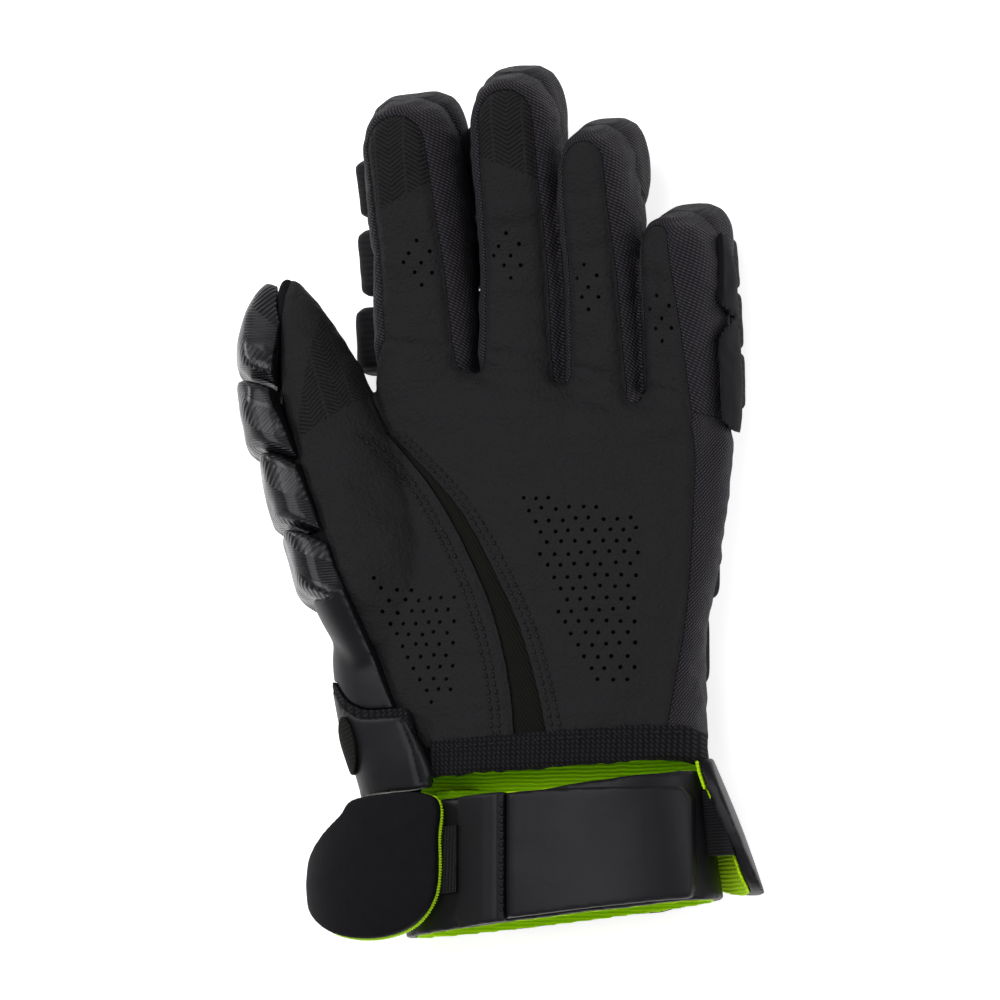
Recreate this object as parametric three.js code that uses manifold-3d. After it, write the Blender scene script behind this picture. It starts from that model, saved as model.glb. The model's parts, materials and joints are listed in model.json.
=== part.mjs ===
// A left-hand lacrosse glove lying on its back with the palm up: fingers along +Y, thumb at -X, palm towards +Z.
// The hand is one hollow form, cut into its sewn panels. Foam rolls and pads sit round its back, and a floating cuff
// with two ears, a wrap and a closure tab goes round the wrist.
import * as THREE from "three";
import { mergeVertices } from "three/addons/utils/BufferGeometryUtils.js";
import Module from "manifold-3d";

const wasm = await Module();
wasm.setup();

// Hand sizes, in millimetres, with angles in degrees.
const PALM_LENGTH = 155; // hem to the crotch beside the index finger
const PALM_WIDTH = 142;
const PALM_DEPTH = 48; // outside depth of the hand form at the wrist
const KNUCKLE_SLANT = 0.17; // how far the knuckle line falls towards the little finger
const FINGER_LENGTH = 116; // middle finger, crotch to tip along its curve
const FINGER_WIDTH = 35;
const FINGER_DEPTH = 34;
const FINGER_CURL = 24;
const THUMB_LENGTH = 150;
const THUMB_WIDTH = 45;
const THUMB_DEPTH = 38;
const THUMB_LEAN = 19;
const THUMB_ROLL = 24;
const HEM_SLANT = 0.05; // rise of the hem and cuff towards the little finger

// Walls, pads and seams.
const WALL = 2; // leather or mesh with its backing
const LINING = 1.2;
const SEAM = 0.3; // gap between two sewn pieces
const PAD = 10; // foam under the back of the hand
const ROLL_DEPTH = 11; // foam on the fingers
const INDEX_REACH = 9; // how far the index finger's rolls reach past its outer side
const THUMB_PAD = 12.5;
const PAD_ROUND = 4; // cut corners of a back pad
const PAD_EDGE = 3; // height and inset of its lower edge
const ROLL_SKEW = 0.6; // how far the thumb's rolls climb towards their outer side
const PAD_GAP = 4; // valley between two pads of the back
const HEM_WIDTH = 13;
const HEM_PROUD = 0.9;

// The floating cuff.
const CUFF_X = 9; // middle of the cuff across the hand
const CUFF_GAP = 10; // between the palm's hem and the wrap
const CUFF_LIFT = 12; // height of the wrap over the floor
const WRAP_LENGTH = 42;
const WRAP_WIDTH = 110; // at the hand's end, before it flares
const WRAP_DEPTH = 52;
const WRAP_FLARE = 12;
const WRAP_WALL = 3.4;
const WRAP_PAD_WIDTH = 20;
const TAB_LENGTH = 68;
const TAB_WALL = 4.5;
const TAB_X = -4; // stitched end of the closure tab
const GUARD_LENGTH = 47;
const GUARD_WIDTH = 112; // at the hand's end, before it flares
const GUARD_DEPTH = 100;
const GUARD_FLARE = 54;
const GUARD_WALL = 5;
const EAR_WIDTH = 68;
const EAR_LENGTH = 52;
const EAR_WALL = 5;
const EAR_SPAN = 204; // width and depth of the wide curve that the ear beside the thumb follows
const EAR_BOW = 94;
const EAR_DIP = 1.5; // how far the ear's crest lies under the wrap's, which curves away below it
const LITTLE_EAR_HEIGHT = 50;
const STRAP_WALL = 5;
const BASE_WALL = 4.5;
const GUARD_LEATHER = 2.8; // leather over the little finger's side
const ELASTIC_WIDTH = 7; // the part that shows between wrap and ear
const ELASTIC_TUCK = 5;
const ELASTIC_WALL = 1.5;
const BADGE_WALL = 1.5;
const BADGE_WIDTH = 10;
const BADGE_LENGTH = 22;
const LINING_REACH = 9; // how far the lime lining passes the hem

const rad = THREE.MathUtils.degToRad;
const SIDES = 12;
const FAR = 400; // reach of a cutting block past the glove
const Y_AXIS = new THREE.Vector3(0, 1, 0);
const Z_AXIS = new THREE.Vector3(0, 0, 1);

// Height of the hand form's middle at the knuckles: the pads under it touch the floor.
const KNUCKLE_Z = PAD + FINGER_DEPTH / 2;
const WRIST_Z = PAD + PALM_DEPTH / 2;

// Fingers: place across the palm and crotch height are shares of the palm, the rest shares of the middle finger.
// The leather panel's width is a share of its finger's, its taper and side shift shares of its own width.
const FINGERS = [
  { name: "index", across: -0.342, crotch: 1.0, length: 0.92, width: 1.15, lean: -1, roll: -3, panel: 0.67, taper: 0.9, shift: 0.05, turn: -3.5 },
  { name: "middle", across: -0.061, crotch: 0.985, length: 1.0, width: 0.98, lean: 0.3, roll: 2, panel: 0.77, taper: 0.8, shift: 0.02, turn: 0.3 },
  { name: "ring", across: 0.172, crotch: 0.92, length: 0.89, width: 0.86, lean: 0.3, roll: 8, panel: 0.72, taper: 0.77, shift: -0.03, turn: -0.8 },
  { name: "little", across: 0.389, crotch: 0.868, length: 0.657, width: 0.86, lean: 0.3, roll: 12, panel: 0.67, taper: 0.55, shift: -0.22, turn: -1.5 },
];
// A finger stall from inside the palm to its tip: place along the finger, then shares of its width and depth.
const STALL = [
  { at: -0.3, width: 0.8, depth: 0.75 },
  { at: 0.0, width: 1.0, depth: 1.0 },
  { at: 0.4, width: 0.99, depth: 1.0 },
  { at: 0.78, width: 0.96, depth: 0.94 },
  { at: 0.92, width: 0.82, depth: 0.78 },
  { at: 1.0, width: 0.36, depth: 0.36 },
];
// The thumb, from inside the heel of the hand to its tip.
const THUMB = [
  { at: 0.0, width: 0.86, depth: 0.8 },
  { at: 0.14, width: 1.06, depth: 1.0 },
  { at: 0.38, width: 1.0, depth: 0.98 },
  { at: 0.62, width: 0.83, depth: 0.9 },
  { at: 0.8, width: 0.6, depth: 0.76 },
  { at: 0.94, width: 0.32, depth: 0.48 },
  { at: 1.0, width: 0.12, depth: 0.2 },
];
// The palm from the wrist to the knuckles: shares of its length, width and depth, and how much the knuckle slant counts.
const PALM = [
  { at: 0.0, middle: -0.01, width: 0.9, depth: 1.0, slant: -0.35 },
  { at: 0.16, middle: -0.045, width: 0.965, depth: 1.0, slant: -0.2 },
  { at: 0.34, middle: -0.06, width: 1.0, depth: 0.93, slant: 0 },
  { at: 0.56, middle: 0.02, width: 0.915, depth: 0.82, slant: 0.3 },
  { at: 0.8, middle: 0.014, width: 0.975, depth: 0.76, slant: 0.8 },
  { at: 0.93, middle: 0.014, width: 0.96, depth: 0.71, slant: 1 },
  { at: 0.965, middle: 0.014, width: 0.92, depth: 0.55, slant: 1 },
];
// The stretch gusset between palm and thumb, from the hem to its point: shares of the palm's length and width.
const GUSSET = [
  { at: 0.0, thumb: -0.022, palm: 0.082 },
  { at: 0.2, thumb: -0.04, palm: 0.038 },
  { at: 0.37, thumb: -0.09, palm: -0.028 },
  { at: 0.46, thumb: -0.13, palm: -0.077 },
  { at: 0.56, thumb: -0.19, palm: -0.137 },
  { at: 0.66, thumb: -0.256, palm: -0.211 },
  { at: 0.74, thumb: -0.32, palm: -0.29 },
  { at: 0.81, thumb: -0.392, palm: -0.372 },
  { at: 0.855, thumb: -0.436, palm: -0.424 },
];
// Edge of the palm leather along the little finger's side, from the hem up.
const PALM_EDGE = [
  { at: 0.0, across: 0.358 },
  { at: 0.1, across: 0.368 },
  { at: 0.27, across: 0.391 },
  { at: 0.45, across: 0.414 },
  { at: 0.62, across: 0.424 },
  { at: 0.8, across: 0.426 },
  { at: 0.87, across: 0.42 },
];
// Seam between the thumb leather and the foam rolls outside it, from the hem to the thumb tip.
const THUMB_SEAM = [
  { at: 0.0, across: -0.235 },
  { at: 0.07, across: -0.271 },
  { at: 0.15, across: -0.349 },
  { at: 0.27, across: -0.413 },
  { at: 0.44, across: -0.492 },
  { at: 0.62, across: -0.576 },
  { at: 0.77, across: -0.64 },
  { at: 0.85, across: -0.673 },
  { at: 0.95, across: -0.722 },
  { at: 1.08, across: -0.722 },
  { at: 1.3, across: -0.712 },
];
// Inner edge of the thumb leather, from the gusset's point to past the thumb tip.
const THUMB_WEB = [
  { at: 0.94, across: -0.479 },
  { at: 1.0, across: -0.5 },
  { at: 1.3, across: -0.48 },
];
// Foam rolls along the back of a finger and along the thumb: where each starts and ends, and its depth.
const FINGER_ROLLS = [
  { name: "tip", from: 0.82, to: 1.0, depth: 1.1 },
  { name: "upper", from: 0.565, to: 0.775, depth: 1 },
  { name: "middle", from: 0.285, to: 0.52, depth: 1 },
  { name: "lower", from: 0.02, to: 0.24, depth: 1 },
];
const THUMB_ROLLS = [
  { name: "tip", from: 0.71, to: 0.975, depth: 1.05, end: 0.5 },
  { name: "upper", from: 0.52, to: 0.68, depth: 1.15, end: 0.72 },
  { name: "middle", from: 0.31, to: 0.49, depth: 0.85, end: 0.72 },
  { name: "lower", from: 0.115, to: 0.28, depth: 0.7, end: 0.72 },
];
// Rows of pads on the back of the hand, in shares of the palm's length and width.
const BACK_ROWS = [
  { name: "knuckle", from: 0.7, to: 0.87, pads: 4, left: -0.455, right: 0.445 },
  { name: "hand", from: 0.465, to: 0.67, pads: 3, left: -0.42, right: 0.42 },
  { name: "heel", from: 0.24, to: 0.435, pads: 3, left: -0.46, right: 0.39 },
  { name: "wrist", from: 0.035, to: 0.215, pads: 2, left: -0.42, right: 0.36 },
];
// Outline of the ear beside the thumb, seen from the palm: shares of its width from its inner edge and of its length.
const THUMB_EAR = [
  { out: 0.04, down: 0.0 },
  { out: 0.0, down: 0.32 },
  { out: 0.01, down: 0.7 },
  { out: 0.07, down: 0.86 },
  { out: 0.24, down: 0.97 },
  { out: 0.5, down: 1.0 },
  { out: 0.8, down: 0.88 },
  { out: 0.97, down: 0.7 },
  { out: 1.0, down: 0.56 },
  { out: 0.85, down: 0.3 },
  { out: 0.7, down: 0.13 },
  { out: 0.57, down: 0.0 },
];
// Outline of the ear beside the little finger, seen from the side: shares of the ear's length and of its height.
const LITTLE_EAR = [
  { down: -0.12, high: 0.8 },
  { down: -0.12, high: 0.5 },
  { down: 0.05, high: 0.24 },
  { down: 0.36, high: 0.12 },
  { down: 0.74, high: 0.16 },
  { down: 0.94, high: 0.4 },
  { down: 0.97, high: 0.66 },
  { down: 0.88, high: 0.88 },
  { down: 0.55, high: 1.0 },
  { down: 0.14, high: 1.0 },
  { down: -0.04, high: 0.93 },
];

// The padded strap across the thumb's base, in shares of the palm.
const STRAP = [
  { across: -0.8, at: -0.035 },
  { across: -0.3, at: -0.03 },
  { across: -0.25, at: -0.01 },
  { across: -0.255, at: 0.03 },
  { across: -0.34, at: 0.15 },
  { across: -0.37, at: 0.17 },
  { across: -0.48, at: 0.24 },
  { across: -0.8, at: 0.24 },
];
// Free end of the closure tab: shares of its length and of the wrap's.
const TAB_END = [
  { along: 0, down: -0.6 },
  { along: 0, down: 1.7 },
  { along: 0.87, down: 1.7 },
  { along: 1.0, down: 0.76 },
  { along: 0.985, down: 0.05 },
  { along: 0.94, down: -0.05 },
  { along: 0.8, down: -0.6 },
];
// Plan of the guard under the wrist: shares of the guard's width from the cuff's middle, and of its length.
const CUFF_BACK = [
  { across: -0.63, down: 0 },
  { across: 0.34, down: 0 },
  { across: 0.34, down: 1.0 },
  { across: 0.24, down: 1.1 },
  { across: -0.44, down: 1.1 },
  { across: -0.7, down: 1.0 },
];

// Solids and cuts.
const solid = (geometry) => {
  const bare = geometry.index ? geometry.toNonIndexed() : geometry.clone();
  bare.deleteAttribute("normal");
  bare.deleteAttribute("uv");
  const merged = mergeVertices(bare, 1e-4);
  return new wasm.Manifold(
    new wasm.Mesh({
      numProp: 3,
      vertProperties: merged.attributes.position.array,
      triVerts: new Uint32Array(merged.index.array),
    }),
  );
};
const union = (parts) => parts.reduce((all, part) => all.add(part));

// A closed loft through rings of equally many points, with a fan over each end.
function loft(rings) {
  const count = rings[0].length;
  const points = rings.flat();
  const ends = [rings[0], rings[rings.length - 1]];
  for (const end of ends) {
    points.push(end.reduce((sum, p) => sum.add(p), new THREE.Vector3()).divideScalar(count));
  }
  const faces = [];
  const first = points.length - 2;
  const lastRing = (rings.length - 1) * count;
  for (let i = 0; i < count; i++) {
    const next = (i + 1) % count;
    for (let r = 0; r < rings.length - 1; r++) {
      const [a, b, c, d] = [r * count + i, r * count + next, (r + 1) * count + next, (r + 1) * count + i];
      faces.push(a, b, c, a, c, d);
    }
    faces.push(first, next, i, first + 1, lastRing + i, lastRing + next);
  }
  const geometry = new THREE.BufferGeometry().setFromPoints(points);
  geometry.setIndex(faces);
  const made = solid(geometry);
  return made.volume() > 0 ? made : solid(flipped(geometry));
}

function flipped(geometry) {
  const index = geometry.index.array;
  for (let i = 0; i < index.length; i += 3) {
    [index[i + 1], index[i + 2]] = [index[i + 2], index[i + 1]];
  }
  return geometry;
}

// A rounded section: half sizes along its side and up directions, squarer as the power rises.
function section({ centre, side, up, halfWidth, halfDepth, power = 2.6, sides = SIDES }) {
  return Array.from({ length: sides }, (_, i) => {
    const angle = ((i + 0.5) / sides) * Math.PI * 2;
    const bend = (v) => Math.sign(v) * Math.abs(v) ** (2 / power);
    return centre
      .clone()
      .addScaledVector(side, halfWidth * bend(Math.cos(angle)))
      .addScaledVector(up, halfDepth * bend(Math.sin(angle)));
  });
}

// A straight-sided cutting block over a plan outline.
function prism(points, low = -FAR, high = FAR) {
  const shape = new THREE.Shape(points.map((p) => new THREE.Vector2(...p)));
  const geometry = new THREE.ExtrudeGeometry(shape, { depth: high - low, bevelEnabled: false });
  return solid(geometry.translate(0, 0, low));
}

// Reads an edge table, in shares of the palm, as plan points in millimetres.
const edge = (rows, key, shift = 0) => rows.map((row) => [row[key] * PALM_WIDTH + shift, row.at * PALM_LENGTH]);

// Everything above a height.
const above = (height) => prism([[-FAR, -FAR], [FAR, -FAR], [FAR, FAR], [-FAR, FAR]], height, FAR);

// Where a finger's curved middle line passes at a share of its length, with its own side and up directions.
function alongFinger(finger, share) {
  const length = FINGER_LENGTH * finger.length;
  const curl = rad(FINGER_CURL);
  const turn = curl * Math.max(share, 0);
  const forward = share < 0 ? length * share : (length / curl) * Math.sin(turn);
  const rise = (length / curl) * (1 - Math.cos(turn));
  const base = new THREE.Vector3(finger.across * PALM_WIDTH, finger.crotch * PALM_LENGTH, KNUCKLE_Z);
  const lean = new THREE.Quaternion().setFromAxisAngle(Z_AXIS, rad(-finger.lean));
  const centre = new THREE.Vector3(0, forward, rise).applyQuaternion(lean).add(base);
  const heading = new THREE.Vector3(0, Math.cos(turn), Math.sin(turn)).applyQuaternion(lean);
  const roll = new THREE.Quaternion().setFromAxisAngle(heading, rad(-finger.roll));
  const side = new THREE.Vector3(1, 0, 0).applyQuaternion(lean).applyQuaternion(roll);
  return { centre, heading, side, up: new THREE.Vector3().crossVectors(side, heading) };
}

function fingerTube(finger, grow) {
  return loft(
    STALL.map(({ at, width, depth }) => {
      const place = alongFinger(finger, at);
      place.centre.addScaledVector(place.heading, at < 0 || at > 0.9 ? Math.sign(at) * grow : 0);
      return section({
        ...place,
        halfWidth: (FINGER_WIDTH * finger.width * width) / 2 + grow,
        halfDepth: (FINGER_DEPTH * depth) / 2 + grow,
      });
    }),
  );
}

const THUMB_BASE = new THREE.Vector3(-0.39 * PALM_WIDTH, 0.342 * PALM_LENGTH, WRIST_Z);

function alongThumb(share) {
  const heading = new THREE.Vector3(-Math.sin(rad(THUMB_LEAN)), Math.cos(rad(THUMB_LEAN)), 0);
  const centre = THUMB_BASE.clone().addScaledVector(heading, share * THUMB_LENGTH);
  centre.z += 0.06 * THUMB_DEPTH * share;
  const roll = new THREE.Quaternion().setFromAxisAngle(heading, rad(THUMB_ROLL));
  const side = new THREE.Vector3().crossVectors(heading, Z_AXIS).applyQuaternion(roll);
  return { centre, heading, side, up: new THREE.Vector3().crossVectors(side, heading) };
}

function thumbTube(grow) {
  return loft(
    THUMB.map(({ at, width, depth }) => {
      const place = alongThumb(at);
      place.centre.addScaledVector(place.heading, at === 0 ? -grow : at > 0.9 ? grow : 0);
      return section({
        ...place,
        halfWidth: (THUMB_WIDTH * width) / 2 + grow,
        halfDepth: (THUMB_DEPTH * depth) / 2 + grow,
        power: 2.3,
      });
    }),
  );
}

// The palm's form, whose open end runs on past the wrist by the given length.
function palmTube(grow, open = 0) {
  const ring = ({ at, middle, width, depth, slant }, end) => {
    const height = THREE.MathUtils.lerp(WRIST_Z, KNUCKLE_Z, Math.min(at / 0.9, 1));
    return section({
      centre: new THREE.Vector3(middle * PALM_WIDTH, at * PALM_LENGTH + end, height),
      side: new THREE.Vector3(1, -KNUCKLE_SLANT * slant, 0),
      up: Z_AXIS,
      halfWidth: (PALM_WIDTH * width) / 2 + grow,
      halfDepth: (PALM_DEPTH * depth) / 2 + grow,
      power: 2.5,
      sides: SIDES + 4,
    });
  };
  const rings = PALM.map((row, i) => ring(row, i > PALM.length - 3 ? grow : 0));
  return loft(open > 0 ? [ring(PALM[0], -open), ...rings] : rings);
}

const handForm = (grow, open = 0) =>
  union([palmTube(grow, open), thumbTube(grow), ...FINGERS.map((finger) => fingerTube(finger, grow))]);

const outer = handForm(0);
const cavity = handForm(-WALL, WALL);
const shell = outer.subtract(cavity);
const clearForm = handForm(SEAM);

// Plan outline of the leather on one finger, straight sides and a round end, grown by a seam where it cuts.
function fingerPanel(finger, grow) {
  const reach = FINGER_LENGTH * finger.length * 0.905;
  const baseHalf = (FINGER_WIDTH * finger.width * finger.panel) / 2;
  const tipHalf = baseHalf * finger.taper;
  const shape = new THREE.Shape();
  shape.moveTo(-baseHalf - grow, -0.06 * reach);
  shape.lineTo(baseHalf + grow, -0.06 * reach);
  shape.lineTo(tipHalf + grow, reach - tipHalf);
  shape.absarc(0, reach - tipHalf, tipHalf + grow, 0, Math.PI, false);
  shape.closePath();
  const geometry = new THREE.ExtrudeGeometry(shape, { depth: 2 * FAR, bevelEnabled: false, curveSegments: 5 });
  geometry.rotateZ(rad(-finger.turn));
  return solid(geometry.translate(panelMiddle(finger), finger.crotch * PALM_LENGTH, -FAR));
}
const panelMiddle = (finger) => finger.across * PALM_WIDTH + finger.shift * finger.width * finger.panel * FINGER_WIDTH;

// The round-bottomed slot between the leathers of two fingers.
function slot(left, right, grow) {
  const panelEdge = (finger, hand) => panelMiddle(finger) + (hand * finger.width * finger.panel * FINGER_WIDTH) / 2;
  const from = panelEdge(left, 1);
  const to = panelEdge(right, -1);
  const half = (to - from) / 2 - grow;
  const bottom = ((left.crotch + right.crotch) / 2) * PALM_LENGTH + grow;
  const shape = new THREE.Shape();
  shape.moveTo(half, FAR / 4);
  shape.lineTo(-half, FAR / 4);
  shape.lineTo(-half, half);
  shape.absarc(0, half, half, Math.PI, 2 * Math.PI, false);
  shape.closePath();
  const geometry = new THREE.ExtrudeGeometry(shape, { depth: 2 * FAR, bevelEnabled: false, curveSegments: 5 });
  return solid(geometry.translate((from + to) / 2, bottom, -FAR));
}

// The palm side lies above a surface that follows the fingers' curl, and the back below it.
function palmSide() {
  const middle = FINGERS[1];
  const line = [[-FAR, WRIST_Z], [0, WRIST_Z], [0.6 * PALM_LENGTH, KNUCKLE_Z + 1]];
  for (const share of [0, 0.25, 0.5, 0.75, 1]) {
    const { centre } = alongFinger(middle, share);
    line.push([centre.y, centre.z + 2]);
  }
  line.push([FAR, line[line.length - 1][1]], [FAR, FAR], [-FAR, FAR]);
  const shape = new THREE.Shape(line.map((p) => new THREE.Vector2(...p)));
  const geometry = new THREE.ExtrudeGeometry(shape, { depth: 2 * FAR, bevelEnabled: false });
  // The profile's own x and y become Y and Z, and it is extruded along X.
  geometry.applyMatrix4(new THREE.Matrix4().makeBasis(Y_AXIS, Z_AXIS, new THREE.Vector3(1, 0, 0)));
  return solid(geometry.translate(-FAR, 0, 0));
}
const palmHalf = palmSide();

const hemTop = HEM_WIDTH + SEAM;

// Plan of the palm leather between gusset and little finger's side, with its four fingers and without their slots.
function palmPlan(grow) {
  const outline = [
    ...edge(PALM_EDGE, "across", grow),
    [0.41 * PALM_WIDTH + grow, 0.9 * PALM_LENGTH + grow],
    [0, 1.02 * PALM_LENGTH + grow],
    [-0.44 * PALM_WIDTH - grow, 1.08 * PALM_LENGTH + grow],
    [-0.492 * PALM_WIDTH - grow, 0.995 * PALM_LENGTH],
    ...edge(GUSSET, "palm", -grow).reverse(),
  ];
  const slots = FINGERS.slice(1).map((finger, i) => slot(FINGERS[i], finger, grow));
  const fingers = union(FINGERS.map((finger) => fingerPanel(finger, grow)));
  return prism(outline).subtract(union(slots)).add(fingers).subtract(union(slots));
}

// Plan of the thumb leather between its seam with the rolls and the gusset.
function thumbPlan(grow) {
  return prism([
    ...edge(GUSSET, "thumb", grow),
    ...edge(THUMB_WEB, "across", grow),
    ...edge(THUMB_SEAM, "across", -grow).reverse(),
  ]);
}

// Plan of the stretch mesh between both leathers.
const gussetPlan = prism([
  ...edge(GUSSET, "palm", -SEAM),
  ...edge(GUSSET, "thumb", SEAM).reverse(),
]);

const overHem = prism([[-FAR, hemTop - HEM_SLANT * FAR], [FAR, hemTop + HEM_SLANT * FAR], [FAR, FAR], [-FAR, FAR]]);
const leatherHalf = palmHalf.translate(0, 0, SEAM).intersect(overHem);
const sewnZone = union([palmPlan(SEAM), thumbPlan(SEAM), gussetPlan]).intersect(palmHalf);

// Plan outlines that part fingers, thumb and the mesh along the little finger's side from the back of the hand.
const knuckleLine = (x) => 0.93 * PALM_LENGTH - KNUCKLE_SLANT * x;
const fingerHalf = (shift) =>
  prism([[-FAR, knuckleLine(-FAR) + shift], [FAR, knuckleLine(FAR) + shift], [FAR, 2 * FAR], [-FAR, 2 * FAR]]);
const thumbHalf = (shift) => {
  const line = [[-0.405, 0.3], [-0.47, 0.65], [-0.492, 0.95], [-0.5, 1.05], [-0.5, 1.6]];
  const right = line.map(([x, y]) => [x * PALM_WIDTH + shift, y * PALM_LENGTH]);
  return prism([...right, [-FAR, 1.6 * PALM_LENGTH], [-FAR, 0.3 * PALM_LENGTH - shift]]);
};

const MATERIALS = {
  palm_leather: new THREE.MeshStandardMaterial({ color: 0x2c2c2d, roughness: 0.72, metalness: 0 }),
  finger_mesh: new THREE.MeshStandardMaterial({ color: 0x1b1a1f, roughness: 0.85, metalness: 0 }),
  stretch_mesh: new THREE.MeshStandardMaterial({ color: 0x1f201e, roughness: 0.9, metalness: 0 }),
  back_fabric: new THREE.MeshStandardMaterial({ color: 0x19191c, roughness: 0.9, metalness: 0 }),
  embossed_leather: new THREE.MeshStandardMaterial({ color: 0x24252c, roughness: 0.4, metalness: 0 }),
  smooth_shell: new THREE.MeshStandardMaterial({ color: 0x232327, roughness: 0.5, metalness: 0 }),
  knit_binding: new THREE.MeshStandardMaterial({ color: 0x1c1a1e, roughness: 0.95, metalness: 0 }),
  green_lining: new THREE.MeshStandardMaterial({ color: 0x5a9a12, roughness: 0.85, metalness: 0 }),
  elastic: new THREE.MeshStandardMaterial({ color: 0x17171a, roughness: 0.85, metalness: 0 }),
};

const glove = new THREE.Group();

// Puts a solid into the model as a named mesh, keeping its largest body so that no crumb of a cut stays.
function addPiece(name, material, made) {
  const bodies = made.decompose().sort((a, b) => b.volume() - a.volume());
  const { vertProperties, triVerts } = bodies[0].simplify(0.05).getMesh();
  const geometry = new THREE.BufferGeometry();
  geometry.setAttribute("position", new THREE.BufferAttribute(vertProperties, 3));
  geometry.setIndex(new THREE.BufferAttribute(triVerts, 1));
  const mesh = new THREE.Mesh(geometry, MATERIALS[material]);
  mesh.name = name;
  glove.add(mesh);
  return bodies[0];
}

// Sewn panels of the hand.
addPiece("palm_panel", "palm_leather", shell.intersect(palmPlan(0)).intersect(leatherHalf));
addPiece("thumb_panel", "palm_leather", shell.intersect(thumbPlan(0)).intersect(leatherHalf));
addPiece("thumb_gusset", "stretch_mesh", shell.intersect(gussetPlan).intersect(leatherHalf));

// Plan of the knitted binding along the palm's hem, grown by a seam where it cuts.
const hemPlan = (grow) => {
  const at = (x, y) => [x * PALM_WIDTH, y + HEM_SLANT * x * PALM_WIDTH];
  return prism([
    at(-0.245, -2 * HEM_WIDTH),
    at(0.6, -2 * HEM_WIDTH),
    at(0.6, 0.3 * HEM_WIDTH + grow),
    at(0.42, HEM_WIDTH + grow),
    at(-0.262, HEM_WIDTH + grow),
  ]);
};
const proud = handForm(HEM_PROUD).subtract(cavity);
addPiece("palm_hem", "knit_binding", proud.intersect(hemPlan(0)).intersect(palmHalf));

const bare = shell.subtract(sewnZone);
const sideBandZ = PAD + 10;
const hemCut = hemPlan(SEAM).translate(-SEAM, 0, 0).add(hemPlan(SEAM)).intersect(palmHalf);
const handRest = bare.subtract(hemCut).subtract(fingerHalf(-SEAM)).subtract(thumbHalf(SEAM));
const sideZone = (shift) => prism([[0.3 * PALM_WIDTH, -1], [FAR, -1], [FAR, FAR], [0.3 * PALM_WIDTH, FAR]], sideBandZ - shift, FAR);
addPiece("side_mesh", "finger_mesh", handRest.intersect(sideZone(0)));
addPiece("hand_back", "back_fabric", handRest.subtract(sideZone(SEAM)));
addPiece("thumb_back", "back_fabric", bare.subtract(hemCut).intersect(thumbHalf(0)));
const stalls = bare.intersect(fingerHalf(0));
// Lines between neighbouring fingers, where one stall's mesh ends and the next begins.
const stallEdge = (finger, hand) => finger.across * PALM_WIDTH + (hand * FINGER_WIDTH * finger.width) / 2;
FINGERS.forEach((finger, i) => {
  const between = (a, b) => (stallEdge(a, 1) + stallEdge(b, -1)) / 2;
  const from = i > 0 ? between(FINGERS[i - 1], finger) + SEAM / 2 : -0.55 * PALM_WIDTH;
  const to = i < 3 ? between(finger, FINGERS[i + 1]) - SEAM / 2 : 0.6 * PALM_WIDTH;
  const strip = prism([[from, 0], [to, 0], [to, 2 * FAR], [from, 2 * FAR]]);
  addPiece(`${finger.name}_stall`, "finger_mesh", stalls.intersect(strip));
});

// Foam rolls on the backs of the fingers and on the thumb's outer side.
const floor = above(0);

// A domed roll: rings between two stations, drawn in at both ends, the further end by its own share.
function roll(place, from, to, halfWidth, halfDepth, end = 0.72) {
  const inset = 0.16 * (to - from);
  const rings = [[from, 0.72], [from + inset, 1], [to - inset * (end < 0.7 ? 2.4 : 1), 1], [to, end]];
  return loft(
    rings.map(([share, size]) => {
      const { centre, side, up } = place(share);
      const width = halfWidth * (end < 0.7 ? size : 0.5 + size / 2);
      return section({ centre, side, up, halfWidth: width, halfDepth: halfDepth * size, power: 3, sides: SIDES - 2 });
    }),
  );
}

// The leather guard over the little finger's outer side, and the room it takes.
const little = FINGERS[3];
function guardPiece(grow, side) {
  const from = (little.across + 0.2 * little.width * (FINGER_WIDTH / PALM_WIDTH)) * PALM_WIDTH - side;
  const low = (little.crotch - 0.04) * PALM_LENGTH - side;
  const high = little.crotch * PALM_LENGTH + 0.88 * little.length * FINGER_LENGTH + side;
  const zone = prism(
    [[from, low], [FAR, low], [FAR, high], [from, high]],
    KNUCKLE_Z - 0.3 * FINGER_DEPTH - side,
    KNUCKLE_Z + 0.38 * FINGER_DEPTH + side,
  );
  return fingerTube(little, grow).intersect(zone);
}
addPiece("little_finger_guard", "smooth_shell", guardPiece(SEAM + GUARD_LEATHER, 0).subtract(clearForm));
const guardClear = guardPiece(2 * SEAM + GUARD_LEATHER, SEAM);

for (const finger of FINGERS) {
  const half = (FINGER_WIDTH * finger.width) / 2 - SEAM;
  for (const { name, from, to, depth } of FINGER_ROLLS) {
    const atTip = name === "tip";
    const outward = finger.name === "index" && !atTip ? INDEX_REACH / 2 : 0;
    const place = (share) => {
      const here = alongFinger(finger, share);
      here.centre.addScaledVector(here.up, -FINGER_DEPTH / 2 + (atTip ? 6 : 0));
      here.centre.addScaledVector(here.side, -outward);
      return here;
    };
    const made = roll(place, from, to, half * (atTip ? 0.93 : 1) + outward, ROLL_DEPTH * depth, atTip ? 0.55 : 0.72);
    addPiece(`${finger.name}_roll_${name}`, atTip ? "finger_mesh" : "embossed_leather",
      made.subtract(clearForm).subtract(guardClear).intersect(floor));
  }
}

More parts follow.
